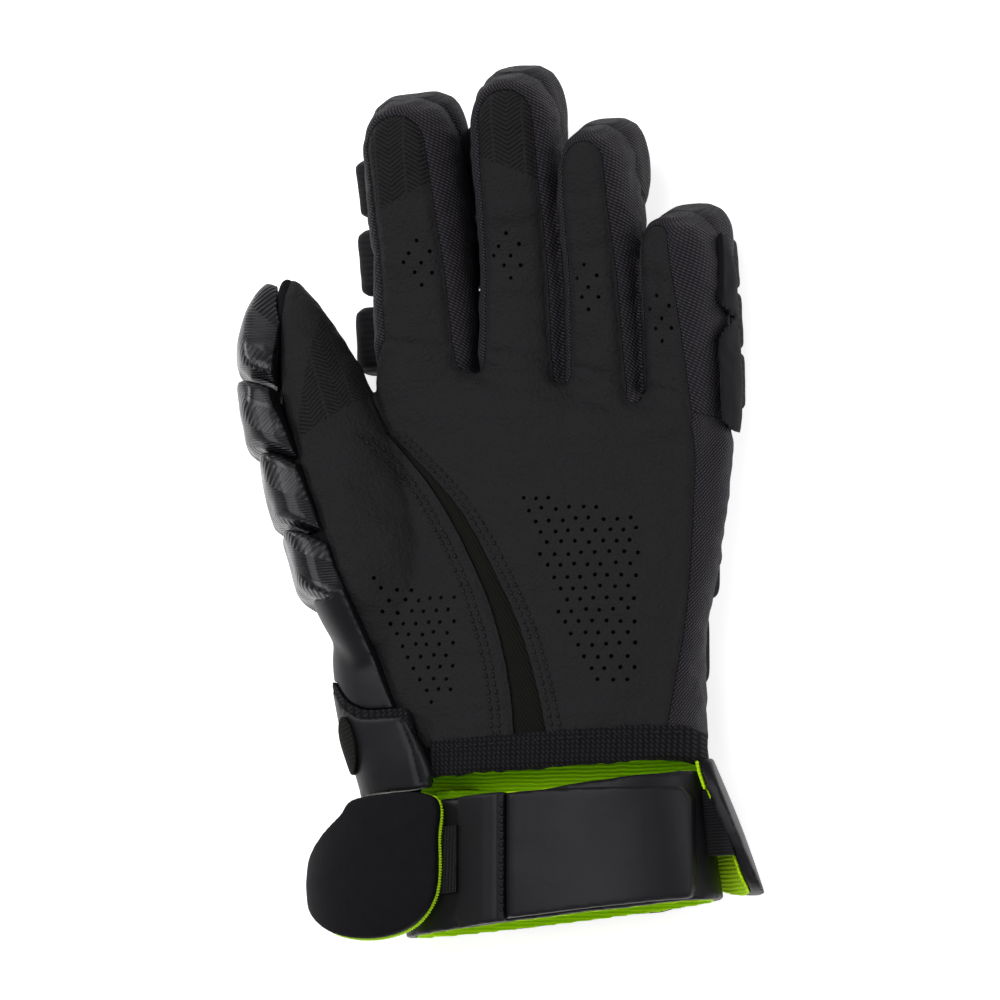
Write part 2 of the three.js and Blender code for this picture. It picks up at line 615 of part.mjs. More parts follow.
// Smooth base panel below the thumb's rolls.
const basePlan = (grow) =>
  prism([
    [-FAR, 0.25 * PALM_LENGTH - grow],
    [-0.41 * PALM_WIDTH + grow, 0.25 * PALM_LENGTH - grow],
    [-0.465 * PALM_WIDTH + grow, 0.38 * PALM_LENGTH + grow],
    [-FAR, 0.38 * PALM_LENGTH + grow],
  ], WRIST_Z - 0.25 * PALM_DEPTH - grow);
const baseForm = (grow) => handForm(SEAM + BASE_WALL + grow).intersect(basePlan(grow));
addPiece("thumb_base_panel", "smooth_shell", baseForm(0).subtract(clearForm));

for (const { name, from, to, depth, end } of THUMB_ROLLS) {
  const place = (share) => {
    const here = alongThumb(share);
    const row = THUMB.findIndex(({ at }) => at >= share);
    const mix = THREE.MathUtils.inverseLerp(THUMB[row - 1].at, THUMB[row].at, share);
    const width = THREE.MathUtils.lerp(THUMB[row - 1].width, THUMB[row].width, mix);
    here.centre.addScaledVector(here.side, (-THUMB_WIDTH * width) / 2);
    here.centre.addScaledVector(here.up, -0.12 * THUMB_DEPTH);
    here.side.addScaledVector(here.heading, -ROLL_SKEW);
    return here;
  };
  const made = roll(place, from, to, THUMB_PAD * depth, THUMB_DEPTH * 0.42, end);
  addPiece(`thumb_roll_${name}`, "embossed_leather", made.subtract(clearForm).subtract(baseForm(SEAM)).intersect(floor));
}

// Pads under the back of the hand: a rounded block that stands on the floor, domed towards it.
function backPad(left, right, from, to) {
  const rise = PAD + 0.15 * PALM_DEPTH;
  const ring = (inset, z) => {
    const round = PAD_ROUND;
    const corners = [[left, from, 1, 1], [right, from, -1, 1], [right, to, -1, -1], [left, to, 1, -1]];
    return corners.flatMap(([x, y, sx, sy], i) => {
      const cut = [[sx * round, 0], [0, sy * round]];
      return (i % 2 ? cut : [...cut].reverse()).map(([dx, dy]) => {
        const px = x + sx * inset + dx;
        const slant = KNUCKLE_SLANT * Math.max(0, y / PALM_LENGTH - 0.1);
        return new THREE.Vector3(px, y + sy * inset + dy - slant * px, z);
      });
    });
  };
  return loft([ring(PAD_EDGE, 0), ring(0, PAD_EDGE), ring(0, rise)]);
}

for (const { name, from, to, pads, left, right } of BACK_ROWS) {
  const width = ((right - left) * PALM_WIDTH + PAD_GAP) / pads;
  for (let i = 0; i < pads; i++) {
    const start = left * PALM_WIDTH + i * width;
    const made = backPad(start, start + width - PAD_GAP, from * PALM_LENGTH, to * PALM_LENGTH);
    addPiece(`${name}_pad_${i + 1}`, "back_fabric", made.subtract(clearForm));
  }
}

// The padded strap under the smooth base panel.
const strapPlan = prism(
  STRAP.map(({ across, at }) => [across * PALM_WIDTH, at * PALM_LENGTH]),
  WRIST_Z - 0.33 * PALM_DEPTH,
);
const strapForm = (grow, reach) => handForm(HEM_PROUD + SEAM + grow, CUFF_GAP + reach);
addPiece("thumb_strap", "smooth_shell", strapForm(STRAP_WALL, 0).subtract(strapForm(0, 2)).intersect(strapPlan));
const badgePlan = new THREE.CylinderGeometry(1, 1, 2 * FAR, 12).rotateX(Math.PI / 2);
badgePlan.scale(BADGE_WIDTH / 2, BADGE_LENGTH / 2, 1).rotateZ(rad(8)).translate(-0.5 * PALM_WIDTH, 0.085 * PALM_LENGTH, 0);
const badgeForm = strapForm(SEAM + STRAP_WALL + BADGE_WALL, 0)
  .subtract(strapForm(SEAM + STRAP_WALL, 2))
  .intersect(above(WRIST_Z));
addPiece("strap_badge", "embossed_leather", badgeForm.intersect(solid(badgePlan)));

// Lime lining inside the back of the hand at its opening.
const backLining = handForm(-WALL - SEAM, LINING_REACH).subtract(handForm(-WALL - SEAM - LINING, LINING_REACH + WALL));
const liningZone = prism([
  [-0.38 * PALM_WIDTH, -FAR], [0.34 * PALM_WIDTH, -FAR], [0.34 * PALM_WIDTH, 1], [FAR, 1],
  [FAR, 0.2 * PALM_LENGTH], [-FAR, 0.2 * PALM_LENGTH], [-FAR, 1], [-0.38 * PALM_WIDTH, 1],
], -FAR, WRIST_Z - 0.12 * PALM_DEPTH);

// The wrap round the wrist, from an upper to a lower oblique end.
function wrapTube(grow, open = 0) {
  const rings = [
    { y: -CUFF_GAP + open, flare: 0, slope: HEM_SLANT },
    { y: -CUFF_GAP - WRAP_LENGTH * 0.5, flare: 0.5, slope: 1.6 * HEM_SLANT },
    { y: -CUFF_GAP - WRAP_LENGTH - open, flare: 1, slope: 2.2 * HEM_SLANT },
  ];
  return loft(
    rings.map(({ y, flare, slope }) =>
      section({
        centre: new THREE.Vector3(CUFF_X, y, CUFF_LIFT + WRAP_DEPTH / 2),
        side: new THREE.Vector3(1, slope, 0),
        up: Z_AXIS,
        halfWidth: (WRAP_WIDTH + flare * WRAP_FLARE) / 2 + grow,
        halfDepth: WRAP_DEPTH / 2 + grow,
        power: 2.3,
        sides: SIDES + 6,
      }),
    ),
  );
}
const wrapInner = wrapTube(-WRAP_WALL, 2);
addPiece("wrist_wrap", "smooth_shell", wrapTube(0).subtract(wrapInner));
addPiece("wrap_lining", "green_lining", wrapTube(-WRAP_WALL - SEAM).subtract(wrapTube(-WRAP_WALL - SEAM - LINING, 2)));

const overWrap = wrapTube(SEAM + TAB_WALL, 1).subtract(wrapTube(SEAM, 3)).intersect(above(WRIST_Z));
const band = (left, right, top, bottom) => {
  const line = (x, share) => -CUFF_GAP - share * WRAP_LENGTH + (1 + 1.2 * share) * HEM_SLANT * (x - CUFF_X);
  return prism([[left, line(left, top)], [left, line(left, bottom)], [right, line(right, bottom)], [right, line(right, top)]]);
};
const padX = TAB_X - WRAP_PAD_WIDTH;
addPiece("wrap_pad", "smooth_shell", overWrap.intersect(band(padX, TAB_X, 0, 1)));
const tabRound = prism(
  TAB_END.map(({ along, down }) => [TAB_X + SEAM + along * TAB_LENGTH, -CUFF_GAP - down * WRAP_LENGTH]),
);
const tabBand = band(TAB_X + SEAM, TAB_X + SEAM + TAB_LENGTH, 0.01, 0.98);
addPiece("closure_tab", "smooth_shell", overWrap.intersect(tabBand).intersect(tabRound));
// The ear beside the thumb: a drop-shaped plate that lies over the wrap's side.
const EAR_Z = CUFF_LIFT + WRAP_DEPTH + SEAM + LINING + EAR_WALL - EAR_BOW / 2 - EAR_DIP;
const earX = padX - ELASTIC_WIDTH;
const earTop = -0.7 * CUFF_GAP;
const earTube = (grow) =>
  loft(
    [0, earTop - 1.5 * EAR_LENGTH].map((y) =>
      section({
        centre: new THREE.Vector3(CUFF_X - 4, y, EAR_Z),
        side: new THREE.Vector3(1, 0, 0),
        up: Z_AXIS,
        halfWidth: EAR_SPAN / 2 + grow,
        halfDepth: EAR_BOW / 2 + grow,
        power: 2.3,
        sides: 3 * SIDES,
      }),
    ),
  );
const earPlan = prism(THUMB_EAR.map(({ out, down }) => [earX - out * EAR_WIDTH, earTop - down * EAR_LENGTH]), EAR_Z);
addPiece("thumb_side_ear", "smooth_shell", earTube(0).subtract(earTube(-EAR_WALL)).intersect(earPlan));
const earLining = earTube(-EAR_WALL - SEAM).subtract(earTube(-EAR_WALL - SEAM - LINING));
addPiece("thumb_ear_lining", "green_lining", earLining.intersect(earPlan));
const overWrapThin = wrapTube(SEAM + ELASTIC_WALL, 1).subtract(wrapTube(SEAM, 3)).intersect(above(WRIST_Z));
const earClear = earTube(SEAM).subtract(earTube(-EAR_WALL - 2 * SEAM - LINING)).intersect(earPlan);
addPiece("thumb_side_elastic", "elastic", overWrapThin.intersect(band(earX - ELASTIC_TUCK, padX - SEAM, 0.14, 0.7)).subtract(earClear));

// The guard under the wrist and its ear beside the little finger, both parts of one flared trough.
const guardTube = (grow) =>
  loft(
    [[12, 0], [-0.4 * GUARD_LENGTH, 0.5], [-1.2 * GUARD_LENGTH, 1]].map(([y, flare]) =>
      section({
        centre: new THREE.Vector3(CUFF_X, y, GUARD_DEPTH / 2),
        side: new THREE.Vector3(1, 0, 0),
        up: Z_AXIS,
        halfWidth: (GUARD_WIDTH + flare * GUARD_FLARE) / 2 + grow,
        halfDepth: GUARD_DEPTH / 2 + grow,
        power: 2.3,
        sides: 3 * SIDES - 4,
      }),
    ),
  );
const troughInner = guardTube(-GUARD_WALL - SEAM);
const hemClear = handForm(HEM_PROUD + SEAM);
const trough = guardTube(0).subtract(guardTube(-GUARD_WALL)).subtract(hemClear);
const troughLining = troughInner.subtract(guardTube(-GUARD_WALL - SEAM - LINING)).subtract(hemClear);
const earSide = (() => {
  const shape = new THREE.Shape(LITTLE_EAR.map(({ down, high }) => new THREE.Vector2(-down * GUARD_LENGTH, high * LITTLE_EAR_HEIGHT)));
  const geometry = new THREE.ExtrudeGeometry(shape, { depth: FAR, bevelEnabled: false });
  geometry.applyMatrix4(new THREE.Matrix4().makeBasis(Y_AXIS, Z_AXIS, new THREE.Vector3(1, 0, 0)));
  return solid(geometry.translate(CUFF_X + 0.34 * GUARD_WIDTH, 0, 0));
})();
addPiece("little_side_ear", "smooth_shell", trough.intersect(earSide));
addPiece("little_ear_lining", "green_lining", troughLining.intersect(earSide));
// The elastic on this side is a flat strip from the wrap to the ear.
const stripFrom = CUFF_X + WRAP_WIDTH / 2 - ELASTIC_TUCK;
const elasticStrip = prism(
  [[stripFrom, -2.9 * CUFF_GAP], [FAR, -2.9 * CUFF_GAP], [FAR, -1.2 * CUFF_GAP], [stripFrom, -1.2 * CUFF_GAP]],
  CUFF_LIFT + 0.55 * WRAP_DEPTH,
  CUFF_LIFT + 0.55 * WRAP_DEPTH + ELASTIC_WALL,
);
addPiece("little_side_elastic", "elastic", elasticStrip.subtract(wrapTube(SEAM, 3)).intersect(guardTube(-GUARD_WALL - 2 * SEAM - LINING)));
const guardSkin = guardTube(SEAM).subtract(guardTube(-GUARD_WALL - 2 * SEAM - LINING));
addPiece("hand_lining", "green_lining", backLining.intersect(liningZone).subtract(guardSkin));
const backPlan = prism(
  CUFF_BACK.map(({ across, down }) => [CUFF_X + across * GUARD_WIDTH - SEAM, -2 - down * GUARD_LENGTH]),
  -1,
  0.24 * GUARD_DEPTH,
);
addPiece("cuff_back", "embossed_leather", trough.intersect(backPlan));

// The origin lies on the floor under the middle of the whole glove.
const middle = new THREE.Box3().setFromObject(glove).getCenter(new THREE.Vector3());
for (const mesh of glove.children) {
  mesh.geometry.translate(-middle.x, -middle.y, 0);
}

export default glove;
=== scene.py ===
"""A left-hand lacrosse glove, palm up: perforated leather palm, mesh fingers, foam rolls, and a floating cuff
with a lime lining."""

import json
import math

import bpy
import numpy as np
from bpy.props import FloatProperty, FloatVectorProperty, PointerProperty
from mathutils import Matrix, Vector, noise
from mathutils.bvhtree import BVHTree

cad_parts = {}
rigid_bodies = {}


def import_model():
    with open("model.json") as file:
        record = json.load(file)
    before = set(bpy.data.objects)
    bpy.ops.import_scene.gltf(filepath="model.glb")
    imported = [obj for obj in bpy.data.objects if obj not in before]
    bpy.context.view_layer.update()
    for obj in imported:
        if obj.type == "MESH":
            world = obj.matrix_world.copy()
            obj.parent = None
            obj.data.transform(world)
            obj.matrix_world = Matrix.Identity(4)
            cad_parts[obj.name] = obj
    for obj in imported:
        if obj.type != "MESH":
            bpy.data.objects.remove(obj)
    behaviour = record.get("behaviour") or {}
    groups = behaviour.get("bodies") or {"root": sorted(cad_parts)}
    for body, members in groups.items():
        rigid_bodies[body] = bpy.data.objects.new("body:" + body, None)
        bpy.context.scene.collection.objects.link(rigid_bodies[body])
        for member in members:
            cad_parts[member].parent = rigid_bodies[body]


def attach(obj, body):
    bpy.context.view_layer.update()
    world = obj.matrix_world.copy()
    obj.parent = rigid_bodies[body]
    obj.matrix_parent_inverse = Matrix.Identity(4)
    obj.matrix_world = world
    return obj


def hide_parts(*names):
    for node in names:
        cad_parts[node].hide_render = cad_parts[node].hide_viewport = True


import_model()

bl_info = {
    "name": "Lacrosse glove",
    "version": (1, 0, 0),
    "blender": (4, 5, 0),
    "location": "3D View > Sidebar > Glove",
    "description": "Models a padded lacrosse glove piece by piece over its packed frame",
    "category": "Object",
}

MM = 0.001
# Further out than any piece
FAR = 400.0
# From where a piece is modelled to its place in the frame
SHIFT = Vector((19.15, -106.72, 0))
# Gap between two panels that are cut apart along a seam
SEAM = 0.25
# Between the padding and the hand that it is sewn to
CLEAR = SEAM + 0.3
# Seams, holes and stitches are on the palm's side, above this height
SEAMS_ABOVE = 30
# The hem and the wrap run up by this much per mm towards the little finger
HEM_SLANT = 0.05
# Upper edge of the hem's binding at the middle of the palm
HEM_TOP = 13
# The knuckles run down by this much per mm towards the little finger
KNUCKLE_SLANT = 0.17
# Degrees that the thumb points away from the fingers, and that it is rolled over
THUMB_AWAY, THUMB_ROLLED = 19, 24
# No piece comes closer to the floor than this
LOWEST = 0.02

# Shares of the palm and of the middle finger
# name, across, crotch, length, width, lean, roll, panel, taper, shift, turn
FINGERS = [
    ("index", -0.342, 1.0, 0.92, 1.15, -1, -3, 0.67, 0.9, 0.05, -3.5),
    ("middle", -0.061, 0.985, 1.0, 0.98, 0.3, 2, 0.77, 0.8, 0.02, 0.3),
    ("ring", 0.172, 0.92, 0.89, 0.86, 0.3, 8, 0.72, 0.77, -0.03, -0.8),
    ("little", 0.389, 0.868, 0.657, 0.86, 0.3, 12, 0.67, 0.55, -0.22, -1.5),
]
NAME, ACROSS, CROTCH, LENGTH, WIDTH, LEAN, ROLL, PANEL, TAPER, SIDE, TURN = range(11)
# at, width, depth
STALL = [
    (-0.3, 0.8, 0.75),
    (0, 1, 1),
    (0.4, 0.99, 1),
    (0.78, 0.96, 0.94),
    (0.92, 0.82, 0.78),
    (0.965, 0.66, 0.62),
    (0.99, 0.48, 0.46),
    (1, 0.3, 0.3),
]
THUMB = [
    (0, 0.86, 0.8),
    (0.14, 1.06, 1),
    (0.38, 1, 0.98),
    (0.62, 0.83, 0.9),
    (0.8, 0.6, 0.76),
    (0.94, 0.32, 0.48),
    (1, 0.12, 0.2),
]
# at, middle, width, depth, slant
PALM = [
    (0, -0.01, 0.9, 1, -0.35),
    (0.16, -0.045, 0.965, 1, -0.2),
    (0.34, -0.06, 1, 0.93, 0),
    (0.56, 0.02, 0.915, 0.82, 0.3),
    (0.8, 0.014, 0.975, 0.76, 0.8),
    (0.93, 0.014, 0.96, 0.71, 1),
    (0.965, 0.014, 0.92, 0.55, 1),
]
# at, thumb edge, palm edge
GUSSET = [
    (0, -0.022, 0.082),
    (0.2, -0.04, 0.038),
    (0.37, -0.09, -0.028),
    (0.46, -0.13, -0.077),
    (0.56, -0.19, -0.137),
    (0.66, -0.256, -0.211),
    (0.74, -0.32, -0.29),
    (0.81, -0.392, -0.372),
    (0.855, -0.436, -0.424),
]
THUMB_EDGE_COLUMN, PALM_EDGE_COLUMN = 1, 2
# at, across
PALM_EDGE = [
    (0, 0.358), (0.1, 0.368), (0.27, 0.391), (0.45, 0.414), (0.62, 0.424), (0.8, 0.426), (0.87, 0.42),
]
THUMB_SEAM = [
    (0, -0.235), (0.07, -0.271), (0.15, -0.349), (0.27, -0.413), (0.44, -0.492), (0.62, -0.576),
    (0.77, -0.64), (0.85, -0.673), (0.95, -0.722), (1.08, -0.722), (1.3, -0.712),
]
THUMB_WEB = [(0.94, -0.479), (1, -0.5), (1.3, -0.48)]
# How a roll's end draws in: to which share, over which share of the roll, how bluntly
BLUNT = (0.76, 0.13, 0.5)
DOMED = (0.5, 0.385, 0.5)
FADING = (0.3, 0.55, 0.8)
POINTED = (0.42, 0.95, 0.9)
# name, from, to, depth, low end, high end, reach past the index finger's side in mm
FINGER_ROLLS = [
    ("tip", 0.61, 1.0, 1.1, FADING, DOMED, 0),
    ("upper", 0.59, 0.79, 1, BLUNT, BLUNT, 4.5),
    ("middle", 0.32, 0.55, 1, BLUNT, BLUNT, 5.6),
    ("lower", 0.05, 0.28, 1, BLUNT, BLUNT, 7.2),
]
# How far a finger's rolls sit towards the thumb, and how much wider they are on each side, in mm
ROLL_SHIFT = {"index": 0, "middle": 4, "ring": 7, "little": 2.5}
ROLL_SPREAD = {"index": 0, "middle": 2.5, "ring": 0, "little": 0}
# How much further the rolls of the other fingers reach, as a share of the finger
ROLL_LONGER = 0.038
# name, from, to, depth, high end, reach over the thumb and rise towards the palm's side in mm
THUMB_ROLLS = [
    ("tip", 0.71, 0.975, 1.05, POINTED, 5, 0.5),
    ("upper", 0.515, 0.695, 1.15, BLUNT, 3.5, 2),
    ("middle", 0.31, 0.5, 0.9, BLUNT, 7, 4),
    ("lower", 0.115, 0.295, 0.75, BLUNT, 8, 5),
]
# name, from, to, pads, left, right
BACK_ROWS = [
    ("knuckle", 0.7, 0.87, 4, -0.455, 0.445),
    ("hand", 0.465, 0.67, 3, -0.42, 0.42),
    ("heel", 0.24, 0.435, 3, -0.46, 0.39),
    ("wrist", 0.035, 0.215, 2, -0.42, 0.36),
]
BACK_ROW_GAP = 4
# across, at
BASE_SHELL = [
    (-0.55, 0.12), (-0.33, 0.12), (-0.352, 0.15), (-0.415, 0.27), (-0.466, 0.38), (-0.5, 0.46), (-0.66, 0.46),
    (-0.643, 0.43), (-0.615, 0.344), (-0.576, 0.231),
]
STRAP = [
    (-0.8, -0.035), (-0.3, -0.03), (-0.25, -0.01), (-0.255, 0.03), (-0.295, 0.1), (-0.325, 0.143),
    (-0.36, 0.147), (-0.44, 0.147), (-0.49, 0.158), (-0.53, 0.18), (-0.572, 0.222), (-0.6, 0.215),
    (-0.65, 0.17), (-0.8, 0.1),
]
STRAP_SEAM = [(-0.333, 0.133), (-0.3, 0.07), (-0.276, -0.012)]
# Foam between the hand and the strap
STRAP_REST = 1.2
# out, down, as shares of the ear's width and of its reach
THUMB_EAR = [
    (0.03, 0), (0, 0.32), (0.0, 0.6), (0.035, 0.76), (0.13, 0.9), (0.28, 0.98), (0.48, 1), (0.7, 0.95),
    (0.88, 0.82), (0.985, 0.66), (0.97, 0.5), (0.8, 0.28), (0.63, 0.12), (0.5, 0),
]
EAR_INNER_EDGE, EAR_WIDTH, EAR_REACH = -31, 68, 52
EAR_HALF_WIDTH, EAR_HALF_DEPTH = 102, 47
# The ear's rounding: how high it domes, and over which width from its edge
EAR_DOME, EAR_DOME_WIDTH = 1.6, 16
# The wrap's underside above the floor, and how much it widens along the arm
WRAP_REST, WRAP_FLARE = 12, 12
# Between a cover and its lining, and from the cover to the lining's inner side
LINING_GAP, LINING_INSIDE = 0.3, 1.5
# How far wrap and tab are raised at their left and right in front, as the real ones bulge towards the hem
WRAP_LIFT, TAB_LIFT = (4.5, 8.5), (4.5, 3)
LIFT_FROM, LIFT_TO, LIFT_FADE = 10, 58, 16
# Across the hand: where the tab starts, the valley between it and the pad, and the seam beside it
TAB_START, TAB_VALLEY, TAB_STITCHES = -3.7, -3.85, -4.9
VALLEY = 1.9
# along, down, as shares of the tab's length and the wrap's
TAB_END = [(0, -0.6), (0, 1.7), (0.87, 1.7), (1.0, 0.76), (0.985, 0.05), (0.94, -0.05), (0.8, -0.6)]
# The guard under the wrist, and the little finger's ear that stands up from it
GUARD_WIDTH, GUARD_REACH, GUARD_HALF_DEPTH, GUARD_WALL, GUARD_WIDENS = 112, 47, 50, 5, 54
# y, how much of the widening
GUARD_FLARE = [(-56.4, 1), (-18.8, 0.5), (12, 0)]
# down, high, as shares of the guard's reach and half depth
LITTLE_EAR = [
    (-0.12, 0.8), (-0.12, 0.5), (0.05, 0.24), (0.36, 0.12), (0.72, 0.16), (0.9, 0.38), (0.93, 0.64),
    (0.85, 0.88), (0.55, 1), (0.14, 1), (-0.04, 0.93),
]
LITTLE_EAR_START = 38.08
# across, down, as shares of the guard's width and reach
WRIST_GUARD = [(-0.63, 0), (0.34, 0), (0.34, 0.94), (0.24, 1.0), (-0.3, 1.06), (-0.44, 1.06), (-0.7, 1.0)]
# Plan outlines of the perforated fields, in mm
HEEL_FIELD = [(-6, 108), (13, 103), (43, 95), (43, 32), (24, 32), (10, 65)]
THUMB_FIELD = [(-63, 80), (-51, 73), (-28, 68), (-29, 31), (-38, 24), (-49, 46), (-57, 57)]
HOLE_RADIUS, HOLE_PITCH, HOLE_ROW, HOLE_STRAY = 0.82, 5.2, 4.3, 0.45
# Middles of the small groups of holes on the fingers, and the holes of one group
FINGER_FIELDS = [(-45.7, 195.6), (-9.7, 196), (21, 182), (49.5, 168.5)]
HOLE_GROUP = [(0, 8.5), (-3.5, 4), (4.8, 4.3), (-5.8, 0.7), (1.2, 0.2), (-1.6, -3.2), (5.1, -3.7), (1, -8.1)]
# Leather on the little finger: mm outwards from its inner edge, share of its length
SIDE_LEATHER = [
    (11, 0), (9.5, 0.22), (9, 0.42), (12, 0.58), (8.5, 0.66), (8, 0.86), (11, 1), (30, 1.02), (30, 0.5),
    (30, 0),
]
# Grip print: its outline on the thumb, and on a finger tip its middle, its lower edge and that edge's slope
THUMB_GRIP = [(-87, 178), (-93, 129), (-81, 137), (-68, 146), (-76, 166)]
FINGER_GRIPS = [(-48, 221.5, 0.45), (-8, 229, -0.44)]
GRIP_HALF_WIDTH = 19


def measure(name, note, value):
    """A size that the sidebar shows."""
    return FloatProperty(name=name, description=note, default=value)


def colour(name, value, note):
    """A colour that the sidebar shows."""
    shown = {"name": name, "description": note, "subtype": "COLOR"}
    return FloatVectorProperty(size=4, min=0, max=1, default=value, **shown)


def linear(code):
    """An sRGB hex colour as linear values, as the shaders take it."""
    parts = [int(code[i : i + 2], 16) / 255 for i in (0, 2, 4)]
    return tuple(c / 12.92 if c <= 0.04045 else ((c + 0.055) / 1.055) ** 2.4 for c in parts) + (1,)


class GloveHand(bpy.types.PropertyGroup):
    palm_length: measure("Palm length", "Hem to the crotch beside the index finger, mm", 155)
    palm_width: measure("Palm width", "Widest part of the palm, mm", 142)
    palm_depth: measure("Palm depth", "Outside depth of the hand at the wrist, mm", 48)
    finger_length: measure("Finger length", "Middle finger along its curve, mm", 116)
    finger_width: measure("Finger width", "Width of a finger of share 1, mm", 35)
    finger_depth: measure("Finger depth", "Depth of a finger, mm", 34)
    finger_curl: measure("Finger curl", "Angle that a finger turns through, degrees", 24)
    thumb_length: measure("Thumb length", "Thumb from the heel of the hand to its tip, mm", 150)
    thumb_width: measure("Thumb width", "Thickest width of the thumb, mm", 45)
    thumb_depth: measure("Thumb depth", "Thickest depth of the thumb, mm", 38)
    roll_depth: measure("Roll depth", "Foam on the fingers, mm", 11)
    pad: measure("Pad", "Foam under the back of the hand, mm", 10)
    leather: measure("Leather", "Wall of leather or mesh with its backing, mm", 2)
    crease: measure("Crease", "Depth of the soft folds in the leather, mm", 0.8)


class GloveCuff(bpy.types.PropertyGroup):
    middle: measure("Middle", "Middle of the cuff across the hand, mm", 9)
    gap: measure("Gap", "Between the hem and the wrap, mm", 10)
    wrap_length: measure("Wrap length", "Along the arm, mm", 42)
    wrap_width: measure("Wrap width", "At the hand's end, mm", 110)
    wrap_depth: measure("Wrap depth", "Outside depth, mm", 52)
    wrap_wall: measure("Wrap wall", "Foam and its covers, mm", 3.4)
    tab_length: measure("Tab length", "Stitched end to free end, mm", 68)
    ear_wall: measure("Ear wall", "Thickness of an ear, mm", 5)
    strap_wall: measure("Strap wall", "Thickness of the thumb strap, mm", 5)


class GloveColours(bpy.types.PropertyGroup):
    leather: colour("Palm leather", linear("202021"), "Flat charcoal of the palm")
    grip: colour("Grip print", linear("0E0E0F"), "Darker raised print on the finger tips")
    mesh: colour("Mesh", linear("121015"), "Coarse mesh round the fingers")
    thread_light: colour("Mesh thread", linear("4D4A51"), "Light on the mesh's threads")
    stretch: colour("Stretch mesh", linear("131411"), "Gusset between palm and thumb")
    cover: colour("Roll cover", linear("0C0C11"), "Glossy embossed cover of the rolls")
    shell: colour("Shell", linear("151518"), "Satin cover of cuff and strap")
    back: colour("Back fabric", linear("0E0E11"), "Woven cover of the back")
    knit: colour("Knit", linear("131214"), "Knitted binding")
    lime: colour("Lime", linear("BFF200"), "Lining")
    lime_dark: colour("Lime shade", linear("80BE00"), "Between the lining's ribs")
    elastic: colour("Elastic", linear("0D0D0F"), "Ribbed elastic")
    thread: colour("Thread", linear("050506"), "Black sewing thread")


def hand():
    return bpy.context.scene.glove_hand


def cuff():
    return bpy.context.scene.glove_cuff


# Modelling tools
def eased(rows, count):
    """More rows of a table, on smooth curves through the given ones."""
    rows = np.array(rows, float)
    t = rows[:, 0]
    slope = np.gradient(rows, t, axis=0)
    at = np.linspace(t[0], t[-1], count)
    k = np.clip(np.searchsorted(t, at, side="right") - 1, 0, len(t) - 2)
    h = (t[k + 1] - t[k])[:, None]
    s = ((at - t[k])[:, None]) / h
    a, b, ma, mb = rows[k], rows[k + 1], slope[k] * h, slope[k + 1] * h
    from_a = (2 * s**3 - 3 * s**2 + 1) * a + (s**3 - 2 * s**2 + s) * ma
    return from_a + (3 * s**2 - 2 * s**3) * b + (s**3 - s**2) * mb


def rounded(points, steps=6):
    """A closed smooth outline through corner points."""
    p = np.array(points, float)
    s = np.linspace(0, 1, steps, endpoint=False)[:, None]
    out = []
    for i in range(len(p)):
        a, b, c, d = p[i - 1], p[i], p[(i + 1) % len(p)], p[(i + 2) % len(p)]
        bow = (2 * a - 5 * b + 4 * c - d) * s**2 + (3 * b - a - 3 * c + d) * s**3
        out.append(0.5 * (2 * b + (c - a) * s + bow))
    return np.concatenate(out)


def arc(x, y, radius, start, stop, steps=14):
    return [(x + radius * math.cos(a), y + radius * math.sin(a)) for a in np.linspace(start, stop, steps)]


def alone(obj):
    """Makes an object the only selected one, and the active one."""
    for other in bpy.context.selected_objects:
        other.select_set(False)
    obj.select_set(True)
    bpy.context.view_layer.objects.active = obj
    return obj


def points_of(obj):
    out = np.empty(len(obj.data.vertices) * 3, np.float32)
    obj.data.vertices.foreach_get("co", out)
    return out.reshape(-1, 3).astype(float)


def set_points(obj, points):
    obj.data.vertices.foreach_set("co", np.asarray(points, np.float32).ravel())
    obj.data.update()


def normals_of(obj):
    out = np.empty(len(obj.data.vertices) * 3, np.float32)
    obj.data.vertex_normals.foreach_get("vector", out)
    return out.reshape(-1, 3).astype(float)


def modified(obj, kind, **settings):
    """Adds a modifier with its settings and applies it."""
    alone(obj)
    made = obj.modifiers.new(kind, kind)
    for key, value in settings.items():
        setattr(made, key, value)
    bpy.ops.object.modifier_apply(modifier=made.name)
    return obj


def cut(obj, cutter, operation="DIFFERENCE", keep=False):
    """A Boolean of two closed pieces; the cutter goes unless it is kept."""
    modified(obj, "BOOLEAN", operation=operation, object=cutter, solver="MANIFOLD")
    if not obj.data.vertices:
        raise RuntimeError(f"{obj.name}: nothing is left after the cut with {cutter.name}")
    if not keep:
        bpy.data.objects.remove(cutter)
    return obj


def copied(obj, name):
    made = obj.copy()
    made.data = obj.data.copy()
    made.name = name
    bpy.context.scene.collection.objects.link(made)
    return made


def softened(obj, voxel, rounds, factor=0.5):
    """Rounds a piece's edges, as a cover sewn over foam does."""
    modified(obj, "REMESH", mode="VOXEL", voxel_size=voxel)
    if rounds:
        modified(obj, "SMOOTH", factor=factor, iterations=rounds)
    return obj


def squared(wave, power):
    """A sine or cosine that stays longer at its ends, as a round corner asks."""
    return np.sign(wave) * np.abs(wave) ** (2 / power)


def section(centre, side, up, half_width, half_depth, power=2.6, sides=48):
    """A rounded ring of points, squarer as the power rises. Its last point is its first."""
    angle = (np.arange(sides + 1) + 0.5) / sides * 2 * math.pi
    across = np.outer(squared(np.cos(angle), power), np.array(side) * half_width)
    return np.array(centre) + across + np.outer(squared(np.sin(angle), power), np.array(up) * half_depth)


